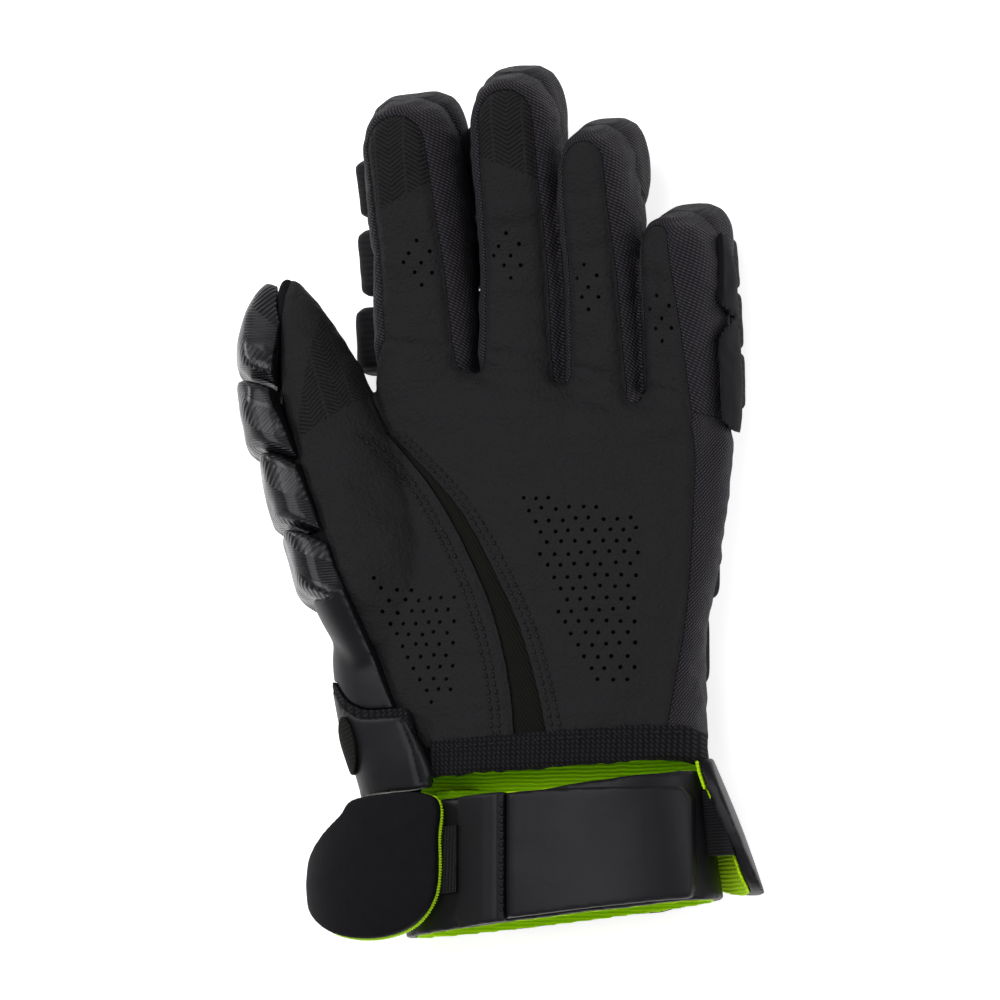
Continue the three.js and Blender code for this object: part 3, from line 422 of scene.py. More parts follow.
def loft(name, rings):
    """A closed tube: a grid wrapped round through the rings, its edges merged and its ends filled."""
    rings = np.array(rings)
    bpy.ops.mesh.primitive_grid_add(x_subdivisions=rings.shape[1] - 1, y_subdivisions=rings.shape[0] - 1)
    obj = alone(bpy.context.object)
    obj.name = name
    set_points(obj, rings.reshape(-1, 3))
    bpy.ops.object.mode_set(mode="EDIT")
    bpy.ops.mesh.select_all(action="SELECT")
    bpy.ops.mesh.remove_doubles(threshold=0.0005)
    bpy.ops.mesh.fill_holes(sides=0)
    bpy.ops.mesh.normals_make_consistent(inside=False)
    bpy.ops.object.mode_set(mode="OBJECT")
    return obj


def prism(name, outline, low=-FAR, high=FAR, along="Z"):
    """A cutting block over a plan outline, or over an outline in (y, z) that runs along X."""
    outline = np.array(outline, float)
    bpy.ops.mesh.primitive_circle_add(vertices=len(outline), fill_type="NGON")
    obj = alone(bpy.context.object)
    obj.name = name
    flat = np.full((len(outline), 3), float(low))
    flat[:, [0, 1] if along == "Z" else [1, 2]] = outline
    set_points(obj, flat)
    bpy.ops.object.mode_set(mode="EDIT")
    bpy.ops.mesh.select_all(action="SELECT")
    step = (0, 0, high - low) if along == "Z" else (high - low, 0, 0)
    bpy.ops.mesh.extrude_region_move(TRANSFORM_OT_translate={"value": step})
    bpy.ops.mesh.select_all(action="SELECT")
    bpy.ops.mesh.normals_make_consistent(inside=False)
    bpy.ops.object.mode_set(mode="OBJECT")
    return obj


def joined(objects):
    alone(objects[0])
    for obj in objects[1:]:
        obj.select_set(True)
    bpy.ops.object.join()
    return bpy.context.object


def repeated(shape, places, name):
    """One object with a copy of the shape at each place; the shape itself goes."""
    points = points_of(shape)
    faces = [tuple(p.vertices) for p in shape.data.polygons]
    all_points = np.concatenate([np.array([m @ Vector(p) for p in points]) for m in places])
    all_faces = [tuple(v + i * len(points) for v in f) for i in range(len(places)) for f in faces]
    data = bpy.data.meshes.new(name)
    data.from_pydata(all_points.tolist(), [], all_faces)
    made = bpy.data.objects.new(name, data)
    bpy.context.scene.collection.objects.link(made)
    bpy.data.objects.remove(shape)
    return made


def inside(points, outline):
    """Which plan points lie inside an outline."""
    x, y = points
    odd = np.zeros(len(x), bool)
    for (ax, ay), (bx, by) in zip(outline, outline[1:] + outline[:1]):
        if ay != by:
            odd ^= ((ay > y) != (by > y)) & (x < ax + (y - ay) / (by - ay) * (bx - ax))
    return odd


def near_lines(points, lines):
    """Distance in plan from each point to the nearest of some lines."""
    best = np.full(len(points), 1e9)
    for line in lines:
        for start, stop in zip(line[:-1], line[1:]):
            run = stop - start
            t = np.clip(((points - start) @ run) / max(run @ run, 1e-9), 0, 1)
            best = np.minimum(best, np.hypot(*(points - start - t[:, None] * run).T))
    return best


def outline_of(plan):
    """The plan's edge as short lines, read from the bottom of its block."""
    points = points_of(plan)
    bottom = [e for e in plan.data.edges if all(points[i][2] < -FAR + 1 for i in e.vertices)]
    return [points[list(e.vertices)][:, :2] for e in bottom]


def rough(points, scale, seed=0.0, stretch=(1, 1, 1)):
    """Smooth noise at each point, from about -1 to 1."""
    stretch = np.array(stretch) / scale
    return np.array([noise.noise(Vector(p)) for p in points * stretch + seed])


def hump(distance, width):
    """1 at no distance, and fading to 0 on both sides."""
    return np.exp(-((distance / width) ** 2))


def pushed(obj, amount):
    """Moves a piece's skin out by an amount at each point."""
    set_points(obj, points_of(obj) + normals_of(obj) * amount[:, None])


def flow(obj, function):
    """Stores the way a pattern runs over the piece: (along, round, height) in mm at each point."""
    attribute = obj.data.attributes.new("flow", "FLOAT_VECTOR", "POINT")
    attribute.data.foreach_set("vector", np.asarray(function(points_of(obj)), np.float32).ravel())
    return obj


def finish(obj, name, material, nodes=(), angle=42):
    """Shades and names a finished piece, moves it to its place in the frame and hides the model's parts that
    it stands for.
    """
    obj.name = obj.data.name = name
    set_points(obj, np.maximum(points_of(obj) + np.array(SHIFT), (-FAR, -FAR, LOWEST)) * MM)
    obj.data.materials.clear()
    obj.data.materials.append(material)
    alone(obj)
    bpy.ops.object.shade_smooth_by_angle(angle=math.radians(angle))
    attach(obj, "root")
    if nodes:
        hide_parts(*nodes)
    obj.select_set(False)
    return obj


# The hand's form
def knuckle_z():
    return hand().pad + hand().finger_depth / 2


def wrist_z():
    return hand().pad + hand().palm_depth / 2


def along_finger(finger, share):
    """Middle, heading, side and up of a finger's curve at a share of its length."""
    g = hand()
    length, curl = g.finger_length * finger[LENGTH], math.radians(g.finger_curl)
    turn = curl * max(share, 0)
    forward = length * share if share < 0 else length / curl * math.sin(turn)
    rise = length / curl * (1 - math.cos(turn))
    lean = Matrix.Rotation(math.radians(-finger[LEAN]), 3, "Z")
    base = Vector((finger[ACROSS] * g.palm_width, finger[CROTCH] * g.palm_length, knuckle_z()))
    heading = lean @ Vector((0, math.cos(turn), math.sin(turn)))
    side = Matrix.Rotation(math.radians(-finger[ROLL]), 3, heading) @ (lean @ Vector((1, 0, 0)))
    return lean @ Vector((0, forward, rise)) + base, heading, side, side.cross(heading)


def along_thumb(share):
    """Middle, heading, side and up of the thumb at a share of its length."""
    g = hand()
    away = math.radians(THUMB_AWAY)
    heading = Vector((-math.sin(away), math.cos(away), 0))
    start = Vector((-0.39 * g.palm_width, 0.342 * g.palm_length, wrist_z()))
    centre = start + heading * share * g.thumb_length
    centre.z += 0.06 * g.thumb_depth * share
    side = Matrix.Rotation(math.radians(THUMB_ROLLED), 3, heading) @ heading.cross(Vector((0, 0, 1)))
    return centre, heading, side, side.cross(heading)


def finger_tube(finger, grow):
    g = hand()
    rings = []
    for at, width, depth in eased(STALL, 40):
        centre, heading, side, up = along_finger(finger, at)
        centre = centre + heading * (grow if at > 0.95 else 0)
        half_width = g.finger_width * finger[WIDTH] * width / 2 + grow
        rings.append(section(centre, side, up, half_width, g.finger_depth * depth / 2 + grow, 2.5))
    return loft("finger", rings)


def thumb_tube(grow):
    g = hand()
    rings = []
    for at, width, depth in eased(THUMB, 36):
        centre, heading, side, up = along_thumb(at)
        centre = centre + heading * (grow if at > 0.9 else -grow if at < 0.01 else 0)
        half_width, half_depth = g.thumb_width * width / 2 + grow, g.thumb_depth * depth / 2 + grow
        rings.append(section(centre, side, up, half_width, half_depth, 2.3))
    return loft("thumb", rings)


def palm_tube(grow, open_end=0):
    g = hand()
    rows = eased(PALM, 30)
    if open_end:
        rows = np.vstack([[-open_end / g.palm_length, *rows[0][1:]], rows])
    rings = []
    for at, middle, width, depth, slant in rows:
        height = wrist_z() + (knuckle_z() - wrist_z()) * min(max(at, 0) / 0.9, 1)
        centre = (middle * g.palm_width, at * g.palm_length + (grow if at > 0.92 else 0), height)
        half_width, half_depth = g.palm_width * width / 2 + grow, g.palm_depth * depth / 2 + grow
        side = (1, -KNUCKLE_SLANT * slant, 0)
        rings.append(section(centre, side, (0, 0, 1), half_width, half_depth, 2.5, 72))
    return loft("palm", rings)


FORMS = {}


def hand_form(name, grow, open_end=0, voxel=1.6, rounds=4):
    """The whole hand as one closed form. Each size of it is made once, and copied after that."""
    key = (grow, open_end, voxel, rounds)
    if key not in FORMS:
        made = joined([palm_tube(grow, open_end), thumb_tube(grow), *(finger_tube(f, grow) for f in FINGERS)])
        softened(made, voxel, rounds)
        FORMS[key] = made.data.copy()
        bpy.data.objects.remove(made)
    made = bpy.data.objects.new(name, FORMS[key].copy())
    bpy.context.scene.collection.objects.link(made)
    return made


def cavity():
    """The hollow inside the hand, open at the wrist."""
    return hand_form("cavity", -hand().leather, hand().leather + 4, 2.0, 2)


def edge(rows, column=1, shift=0.0, count=24):
    """A table's seam in plan: shares of the palm made mm, and moved across by a shift."""
    g = hand()
    return [(row[column] * g.palm_width + shift, row[0] * g.palm_length) for row in eased(rows, count)]


def half_panel(finger):
    """Half the width of the leather on a finger."""
    return hand().finger_width * finger[WIDTH] * finger[PANEL] / 2


def panel_middle(finger):
    """The leather's middle across the hand."""
    aside = finger[SIDE] * finger[WIDTH] * finger[PANEL] * hand().finger_width
    return finger[ACROSS] * hand().palm_width + aside


def finger_plan(finger, grow):
    """Plan of the leather on one finger: straight sides and a round end."""
    reach = hand().finger_length * finger[LENGTH] * 0.905
    base = half_panel(finger)
    tip = base * finger[TAPER]
    low = -0.06 * reach
    outline = [(-base - grow, low), (base + grow, low), *arc(0, reach - tip, tip + grow, 0, math.pi)]
    turn = Matrix.Rotation(math.radians(-finger[TURN]), 2)
    start = Vector((panel_middle(finger), finger[CROTCH] * hand().palm_length))
    return prism("finger plan", [tuple(turn @ Vector(p) + start) for p in outline])


def slot_plan(left, right, grow):
    """Plan of the gap between the leather of two fingers, round at its lower end."""
    start, stop = panel_middle(left) + half_panel(left), panel_middle(right) - half_panel(right)
    half = (stop - start) / 2 - grow
    low = (left[CROTCH] + right[CROTCH]) / 2 * hand().palm_length + grow
    x = (start + stop) / 2
    high = low + 100
    bottom = arc(x, low + half, half, math.pi, 2 * math.pi)
    return prism("slot", [(x + half, high), (x - half, high), *bottom])


def palm_plan(grow):
    """Plan of the palm leather with its four fingers."""
    w, l = hand().palm_width, hand().palm_length
    fingers_side = [
        (0.41 * w + grow, 0.9 * l + grow),
        (0, 1.02 * l + grow),
        (-0.44 * w - grow, 1.08 * l + grow),
        (-0.497 * w - grow, l),
        (-0.4765 * w - grow, 0.94 * l),
    ]
    gusset_side = edge(GUSSET, PALM_EDGE_COLUMN, -grow)[::-1]
    plan = prism("palm plan", edge(PALM_EDGE, 1, grow) + fingers_side + gusset_side)
    slots = [slot_plan(a, b, grow) for a, b in zip(FINGERS, FINGERS[1:])]
    for slot in slots:
        cut(plan, slot, keep=True)
    for finger in FINGERS:
        cut(plan, finger_plan(finger, grow), "UNION")
    for slot in slots:
        cut(plan, slot)
    return plan


def thumb_plan(grow):
    gusset_side, web = edge(GUSSET, THUMB_EDGE_COLUMN, grow), edge(THUMB_WEB, 1, grow, 8)
    return prism("thumb plan", gusset_side + web + edge(THUMB_SEAM, 1, -grow, 30)[::-1])


def gusset_plan(grow=0.0):
    outer = edge(GUSSET, PALM_EDGE_COLUMN, -SEAM + grow)
    return prism("gusset plan", outer + edge(GUSSET, THUMB_EDGE_COLUMN, SEAM - grow)[::-1])


def stitch_rows(column):
    """The double rows of stitches on one side of the gusset, from above the hem on."""
    shifts = (-5.2, -8.2) if column == THUMB_EDGE_COLUMN else (2.6, 5.6)
    return [[(x, y) for x, y in edge(GUSSET, column, shift, 60) if y > HEM_TOP + 2] for shift in shifts]


def palm_side(lift=0.0):
    """All above the surface that parts the palm from the back of the hand."""
    line = [(-FAR, wrist_z()), (0, wrist_z()), (0.6 * hand().palm_length, knuckle_z() + 1)]
    for share in np.linspace(0, 1, 9):
        centre = along_finger(FINGERS[1], share)[0]
        line.append((centre.y, centre.z + 2))
    line += [(FAR, line[-1][1]), (FAR, FAR), (-FAR, FAR)]
    return prism("palm side", [(y, z + lift) for y, z in line], along="X")


def hem_plan(grow, shift=0.0):
    """Plan of the binding, from beside the strap to the palm's outer edge, where its top slants down."""
    w = hand().palm_width
    top = HEM_TOP + grow
    corners = [(0.6, -26), (0.6, 3.9 + grow), (0.42, top), (-0.262, top), (-0.245, -26)]
    return prism("hem plan", [(x * w + shift, y + HEM_SLANT * x * w) for x, y in corners])


def finger_flow(finger):
    """Along a finger and round it."""
    g = hand()
    bow = g.finger_length * finger[LENGTH] / math.radians(g.finger_curl)
    base = np.array((finger[ACROSS] * g.palm_width, finger[CROTCH] * g.palm_length, knuckle_z()))

    def run(p):
        q = p - base
        along = np.arctan2(q[:, 1], bow - q[:, 2])
        height = bow - np.hypot(q[:, 1], bow - q[:, 2])
        return np.stack([along * bow, np.arctan2(q[:, 0], height + 4) * 17, height], 1)

    return run


def thumb_flow(p):
    """Along the thumb and round it."""
    centre, heading, side, up = (np.array(v) for v in along_thumb(0))
    q = p - centre
    return np.stack([q @ heading, np.arctan2(q @ up, -(q @ side) + 6) * 22, q @ side], 1)


def plan_flow(p):
    """Along the hand and across it."""
    return p[:, [1, 0, 2]]


def side_flow(p):
    """Along the hand and over its side."""
    return np.stack([p[:, 1], p[:, 2] - p[:, 0], p[:, 0]], 1)


def cuff_flow(p):
    """Along the arm and round it."""
    return np.stack([p[:, 1], np.arctan2(p[:, 2] - 38, p[:, 0] - cuff().middle) * 45, p[:, 2]], 1)


def band_flow(p):
    """Along a band that runs across the hand."""
    return p


# Materials
MATH = "ShaderNodeMath"
NOISE = "ShaderNodeTexNoise"
SPLIT = "ShaderNodeSeparateXYZ"
RANGE = "ShaderNodeMapRange"
PLACE = "ShaderNodeTexCoord"


def add(tree, kind, inputs=(), output=0, **settings):
    """Adds a node with its settings, its inputs as values or as links, and gives one of its outputs."""
    made = tree.nodes.new(kind)
    for key, value in settings.items():
        setattr(made, key, value)
    for key, value in dict(inputs).items():
        if isinstance(value, bpy.types.NodeSocket):
            tree.links.new(value, made.inputs[key])
        else:
            made.inputs[key].default_value = value
    return made.outputs[output]


def started(name, roughness, specular):
    """A new material, its tree and its shader."""
    material = bpy.data.materials.new(name)
    material.use_nodes = True
    tree = material.node_tree
    shader = tree.nodes["Principled BSDF"]
    shader.inputs["Roughness"].default_value = roughness
    shader.inputs["Specular IOR Level"].default_value = specular
    return material, tree, shader


def ways(tree):
    """How far along the piece and round it a point is, in mm."""
    stored = add(tree, "ShaderNodeAttribute", output="Vector", attribute_name="flow")
    return add(tree, SPLIT, {0: stored}, "X"), add(tree, SPLIT, {0: stored}, "Y")


def stripes(tree, along, across, lean, period):
    """Ribs that lean over the surface, one in each period: 0 between them and 1 on them."""
    run = add(tree, MATH, {0: across, 1: lean, 2: along}, operation="MULTIPLY_ADD")
    turn = add(tree, MATH, {0: run, 1: 2 * math.pi / period}, operation="MULTIPLY")
    swing = add(tree, MATH, {0: turn}, operation="SINE")
    return add(tree, MATH, {0: swing, 1: 0.5, 2: 0.5}, operation="MULTIPLY_ADD")


def surfaced(tree, shader, dark, light, amount, *bumps):
    """Gives a shader two colours mixed by a pattern, and bumps as (height, depth in mm, strength)."""
    colours = {"Factor": amount, "A": dark, "B": light}
    mixed = add(tree, "ShaderNodeMix", colours, "Result", data_type="RGBA")
    tree.links.new(mixed, shader.inputs["Base Color"])
    under = {}
    for height, depth, strength in bumps:
        inputs = {"Height": height, "Distance": depth * MM, "Strength": strength, **under}
        under = {"Normal": add(tree, "ShaderNodeBump", inputs)}
    tree.links.new(under["Normal"], shader.inputs["Normal"])


def scaled(tone, k):
    """A colour made lighter or darker."""
    return (tone[0] * k, tone[1] * k, tone[2] * k, 1)


def grip_leather(c):
    """The palm: pressed synthetic suede, flat and charcoal. Silicone lines are printed on it for grip, where
    the attribute of that name says so: a darker herringbone with its lines 1.7 mm apart."""
    material, tree, shader = started("grip leather", 0.75, 0.16)
    place = add(tree, PLACE, output="Object")
    along, around = ways(tree)
    band = add(tree, MATH, {0: around, 1: 6.0}, operation="PINGPONG")
    lines = stripes(tree, along, band, 0.62, 1.7)
    line = add(tree, MATH, {0: lines, 1: 0.56}, operation="GREATER_THAN")
    off_rim = add(tree, MATH, {0: band, 1: 0.45}, operation="GREATER_THAN")
    mark = add(tree, "ShaderNodeAttribute", output="Fac", attribute_name="grip")
    marked = add(tree, MATH, {0: mark, 1: 0.5}, operation="GREATER_THAN")
    printed = add(tree, MATH, {0: line, 1: off_rim}, operation="MULTIPLY")
    ink = add(tree, MATH, {0: printed, 1: marked}, operation="MULTIPLY")
    fine = add(tree, NOISE, {"Vector": place, "Scale": 1 / (1.3 * MM), "Detail": 4})
    dents = add(tree, NOISE, {"Vector": place, "Scale": 1 / (24 * MM), "Detail": 2})
    surfaced(tree, shader, c.leather, c.grip, ink, (fine, 1.0, 1), (dents, 6, 0.6), (ink, 0.35, 0.6))
    return material


def finger_mesh(c):
    """Spacer mesh: an open knit whose threads catch the light one by one. They are drawn 1.35 to 1.6 mm
    apart, coarser than the real ones, so that they show."""
    material, tree, shader = started("finger mesh", 0.7, 0.25)
    place = add(tree, PLACE, output="Object")
    along, around = ways(tree)
    rows = stripes(tree, along, around, 0.75, 1.35)
    holes = stripes(tree, around, along, -0.3, 1.6)
    between = add(tree, MATH, {0: holes, 1: 0.55, 2: 0.5}, operation="MULTIPLY_ADD")
    threads = add(tree, MATH, {0: rows, 1: between}, operation="MULTIPLY")
    dimmed = add(tree, MATH, {0: threads, 1: 0.9}, operation="MULTIPLY")
    lit = add(tree, MATH, {0: dimmed, 1: 1.6}, operation="POWER")
    dents = add(tree, NOISE, {"Vector": place, "Scale": 1 / (9 * MM), "Detail": 2})
    dark, light = scaled(c.mesh, 0.25), c.thread_light
    surfaced(tree, shader, dark, light, lit, (threads, 0.55, 0.9), (dents, 1.2, 0.25))
    return material


def stretch_mesh(c):
    """Stretch mesh of the gusset: olive black, with ribs 2.2 mm apart, coarser than the real ones."""
    material, tree, shader = started("stretch mesh", 0.85, 0.12)
    along, around = ways(tree)
    ribs = stripes(tree, along, around, 1.6, 2.2)
    surfaced(tree, shader, scaled(c.stretch, 0.6), scaled(c.stretch, 1.3), ribs, (ribs, 0.3, 0.7))
    return material


def embossed_cover(c):
    """Coated fabric, hot pressed over the foam into slanting lines 1.6 mm apart: glossy above, and dull and
    black below, where the roll's side turns under. The lines are painted lighter on the upper part only: a
    painted highlight where the light falls on the roll, not a colour of the cover itself."""
    material, tree, shader = started("embossed cover", 0.3, 0.35)
    place = add(tree, PLACE, output="Object")
    along, around = ways(tree)
    height = add(tree, SPLIT, {0: place}, "Z")
    # The roll's upper part, by height: there the lines get their painted highlight, and the cover its gloss
    top = add(tree, RANGE, {"Value": height, "From Min": 29 * MM, "From Max": 42 * MM})
    slant = add(tree, MATH, {0: along, 1: 0.5, 2: around}, operation="MULTIPLY_ADD")
    band = add(tree, MATH, {0: slant, 1: 6.0}, operation="PINGPONG")
    lines = stripes(tree, along, band, 0.7 / 0.75, 1.6)
    off_rim = add(tree, MATH, {0: band, 1: 0.5}, operation="GREATER_THAN")
    ridge = add(tree, MATH, {0: lines, 1: off_rim}, operation="MULTIPLY")
    # Painted highlight: the lines are lit only on the roll's upper part
    lit = add(tree, MATH, {0: ridge, 1: top}, operation="MULTIPLY")
    dents = add(tree, NOISE, {"Vector": place, "Scale": 1 / (10 * MM), "Detail": 2})
    # The light tone is the painted highlight on the lines; the dark one is the black of the cover
    dark, light = scaled(c.cover, 0.3), scaled(c.cover, 2.3)
    surfaced(tree, shader, dark, light, lit, (ridge, 0.35, 0.9), (dents, 1.6, 0.4))
    for socket, dull, gloss in (("Roughness", 0.85, 0.38), ("Coat Weight", 0.0, 0.25)):
        sheen = add(tree, RANGE, {"Value": top, "To Min": dull, "To Max": gloss})
        tree.links.new(sheen, shader.inputs[socket])
    shader.inputs["Coat Roughness"].default_value = 0.16
    return material


def roll_fabric(c):
    """The fingers' rolls: pressed foam under a matt woven cover, with ribs 2.4 mm apart."""
    material, tree, shader = started("roll fabric", 0.7, 0.16)
    place = add(tree, PLACE, output="Object")
    along, around = ways(tree)
    band = add(tree, MATH, {0: around, 1: 9.0}, operation="PINGPONG")
    ridge = stripes(tree, along, band, 0.5, 2.4)
    weave = add(tree, NOISE, {"Vector": place, "Scale": 1 / (0.9 * MM), "Detail": 2})
    dark, light = scaled(c.back, 0.8), scaled(c.back, 1.7)
    surfaced(tree, shader, dark, light, ridge, (ridge, 0.3, 0.6), (weave, 0.2, 0.6))
    return material


def satin_shell(c):
    """Satin synthetic leather over foam, moulded smooth: soft light with broad dents."""
    material, tree, shader = started("satin shell", 0.45, 0.2)
    place = add(tree, PLACE, output="Object")
    cloudy = add(tree, NOISE, {"Vector": place, "Scale": 1 / (30 * MM), "Detail": 3})
    fine = add(tree, NOISE, {"Vector": place, "Scale": 1 / (0.7 * MM), "Detail": 3})
    dents = add(tree, NOISE, {"Vector": place, "Scale": 1 / (12 * MM), "Detail": 2})
    dark, light = scaled(c.shell, 0.85), scaled(c.shell, 1.12)
    surfaced(tree, shader, dark, light, cloudy, (fine, 0.05, 0.5), (dents, 0.8, 0.22))
    return material


def side_leather(c):
    """Thin black leather beside the little finger and on the large ear, dull and finely grained."""
    material, tree, shader = started("side leather", 0.8, 0.12)
    place = add(tree, PLACE, output="Object")
    cloudy = add(tree, NOISE, {"Vector": place, "Scale": 1 / (4 * MM), "Detail": 3})
    fine = add(tree, NOISE, {"Vector": place, "Scale": 1 / (0.8 * MM), "Detail": 3})
    surfaced(tree, shader, scaled(c.back, 0.8), scaled(c.back, 1.5), cloudy, (fine, 0.15, 0.7))
    return material


def back_fabric(c):
    """Woven cover of the back, matt. Its threads are drawn 1.4 mm apart, coarser than real ones, to show."""
    material, tree, shader = started("back fabric", 0.85, 0.15)
    place = add(tree, PLACE, output="Object")
    x = add(tree, SPLIT, {0: place}, "X")
    y = add(tree, SPLIT, {0: place}, "Y")
    weft = stripes(tree, x, y, 1, 1.4 * MM)
    warp = stripes(tree, x, y, -1, 1.4 * MM)
    weave = add(tree, MATH, {0: weft, 1: warp}, operation="MULTIPLY")
    surfaced(tree, shader, scaled(c.back, 0.6), scaled(c.back, 1.5), weave, (weave, 0.3, 0.7))
    return material


def knit_binding(c):
    """Knitted binding: soft loops 1.7 by 1.9 mm, in rows, fuzzy and matt."""
    material, tree, shader = started("knit binding", 0.9, 0.15)
    place = add(tree, PLACE, output="Object")
    along, around = ways(tree)
    band = add(tree, MATH, {0: around, 1: 0.95}, operation="PINGPONG")
    rows = stripes(tree, around, along, 0, 1.9)
    bows = stripes(tree, along, band, 1, 1.7)
    loops = add(tree, MATH, {0: rows, 1: bows}, operation="MULTIPLY")
    fuzz = add(tree, NOISE, {"Vector": place, "Scale": 1 / (3 * MM), "Detail": 3})
    dark, light = scaled(c.knit, 0.5), scaled(c.knit, 3.6)
    surfaced(tree, shader, dark, light, loops, (loops, 0.4, 0.8), (fuzz, 0.8, 0.4))
    return material


def lime_lining(c):
    """Brushed lime knit, with ribs 1.5 mm apart that wander a little."""
    material, tree, shader = started("lime lining", 0.8, 0.2)
    place = add(tree, PLACE, output="Object")
    along, _ = ways(tree)
    wander = add(tree, NOISE, {"Vector": place, "Scale": 1 / (6 * MM), "Detail": 2})
    ribs = stripes(tree, along, wander, 1.2, 1.5)
    lit = add(tree, MATH, {0: ribs, 1: 0.5, 2: 0.5}, operation="MULTIPLY_ADD")
    surfaced(tree, shader, c.lime_dark, c.lime, lit, (ribs, 0.3, 0.6))
    return material


def woven_elastic(c):
    """Woven elastic: cords 1.15 mm apart along its length, crossed by finer knots."""
    material, tree, shader = started("elastic", 0.75, 0.3)
    along, around = ways(tree)
    cord = stripes(tree, around, along, 0, 1.15)
    crossing = stripes(tree, along, around, 0, 0.9)
    lit = add(tree, MATH, {0: crossing, 1: 0.6, 2: 0.5}, operation="MULTIPLY_ADD")
    knots = add(tree, MATH, {0: cord, 1: lit}, operation="MULTIPLY")
    surfaced(tree, shader, scaled(c.elastic, 0.4), scaled(c.elastic, 3.2), knots, (knots, 0.4, 0.8))
    return material


def sewing_thread(name, tone, roughness):
    """Bonded polyester thread, slightly glossy, with its twist as fine noise."""
    material, tree, shader = started(name, roughness, 0.35)
    place = add(tree, PLACE, output="Object")
    cloudy = add(tree, NOISE, {"Vector": place, "Scale": 1 / (0.6 * MM), "Detail": 2})
    twist = add(tree, NOISE, {"Vector": place, "Scale": 1 / (0.4 * MM), "Detail": 2})
    surfaced(tree, shader, scaled(tone, 0.6), scaled(tone, 1.2), cloudy, (twist, 0.15, 0.6))
    return material


MATERIALS = {}


def finish_of(name):
    """A material of the glove by its short name. All are made when the first one is asked for."""
    c = bpy.context.scene.glove_colours
    if not MATERIALS:
        MATERIALS["leather"] = grip_leather(c)
        MATERIALS["mesh"] = finger_mesh(c)
        MATERIALS["stretch"] = stretch_mesh(c)
        MATERIALS["cover"] = embossed_cover(c)
        MATERIALS["roll"] = roll_fabric(c)
        MATERIALS["shell"] = satin_shell(c)
        MATERIALS["side leather"] = side_leather(c)
        MATERIALS["back"] = back_fabric(c)
        MATERIALS["knit"] = knit_binding(c)
        MATERIALS["lime"] = lime_lining(c)
        MATERIALS["elastic"] = woven_elastic(c)
        MATERIALS["thread"] = sewing_thread("thread", c.thread, 0.6)
        MATERIALS["lime thread"] = sewing_thread("lime thread", c.lime, 0.7)
    return MATERIALS[name]


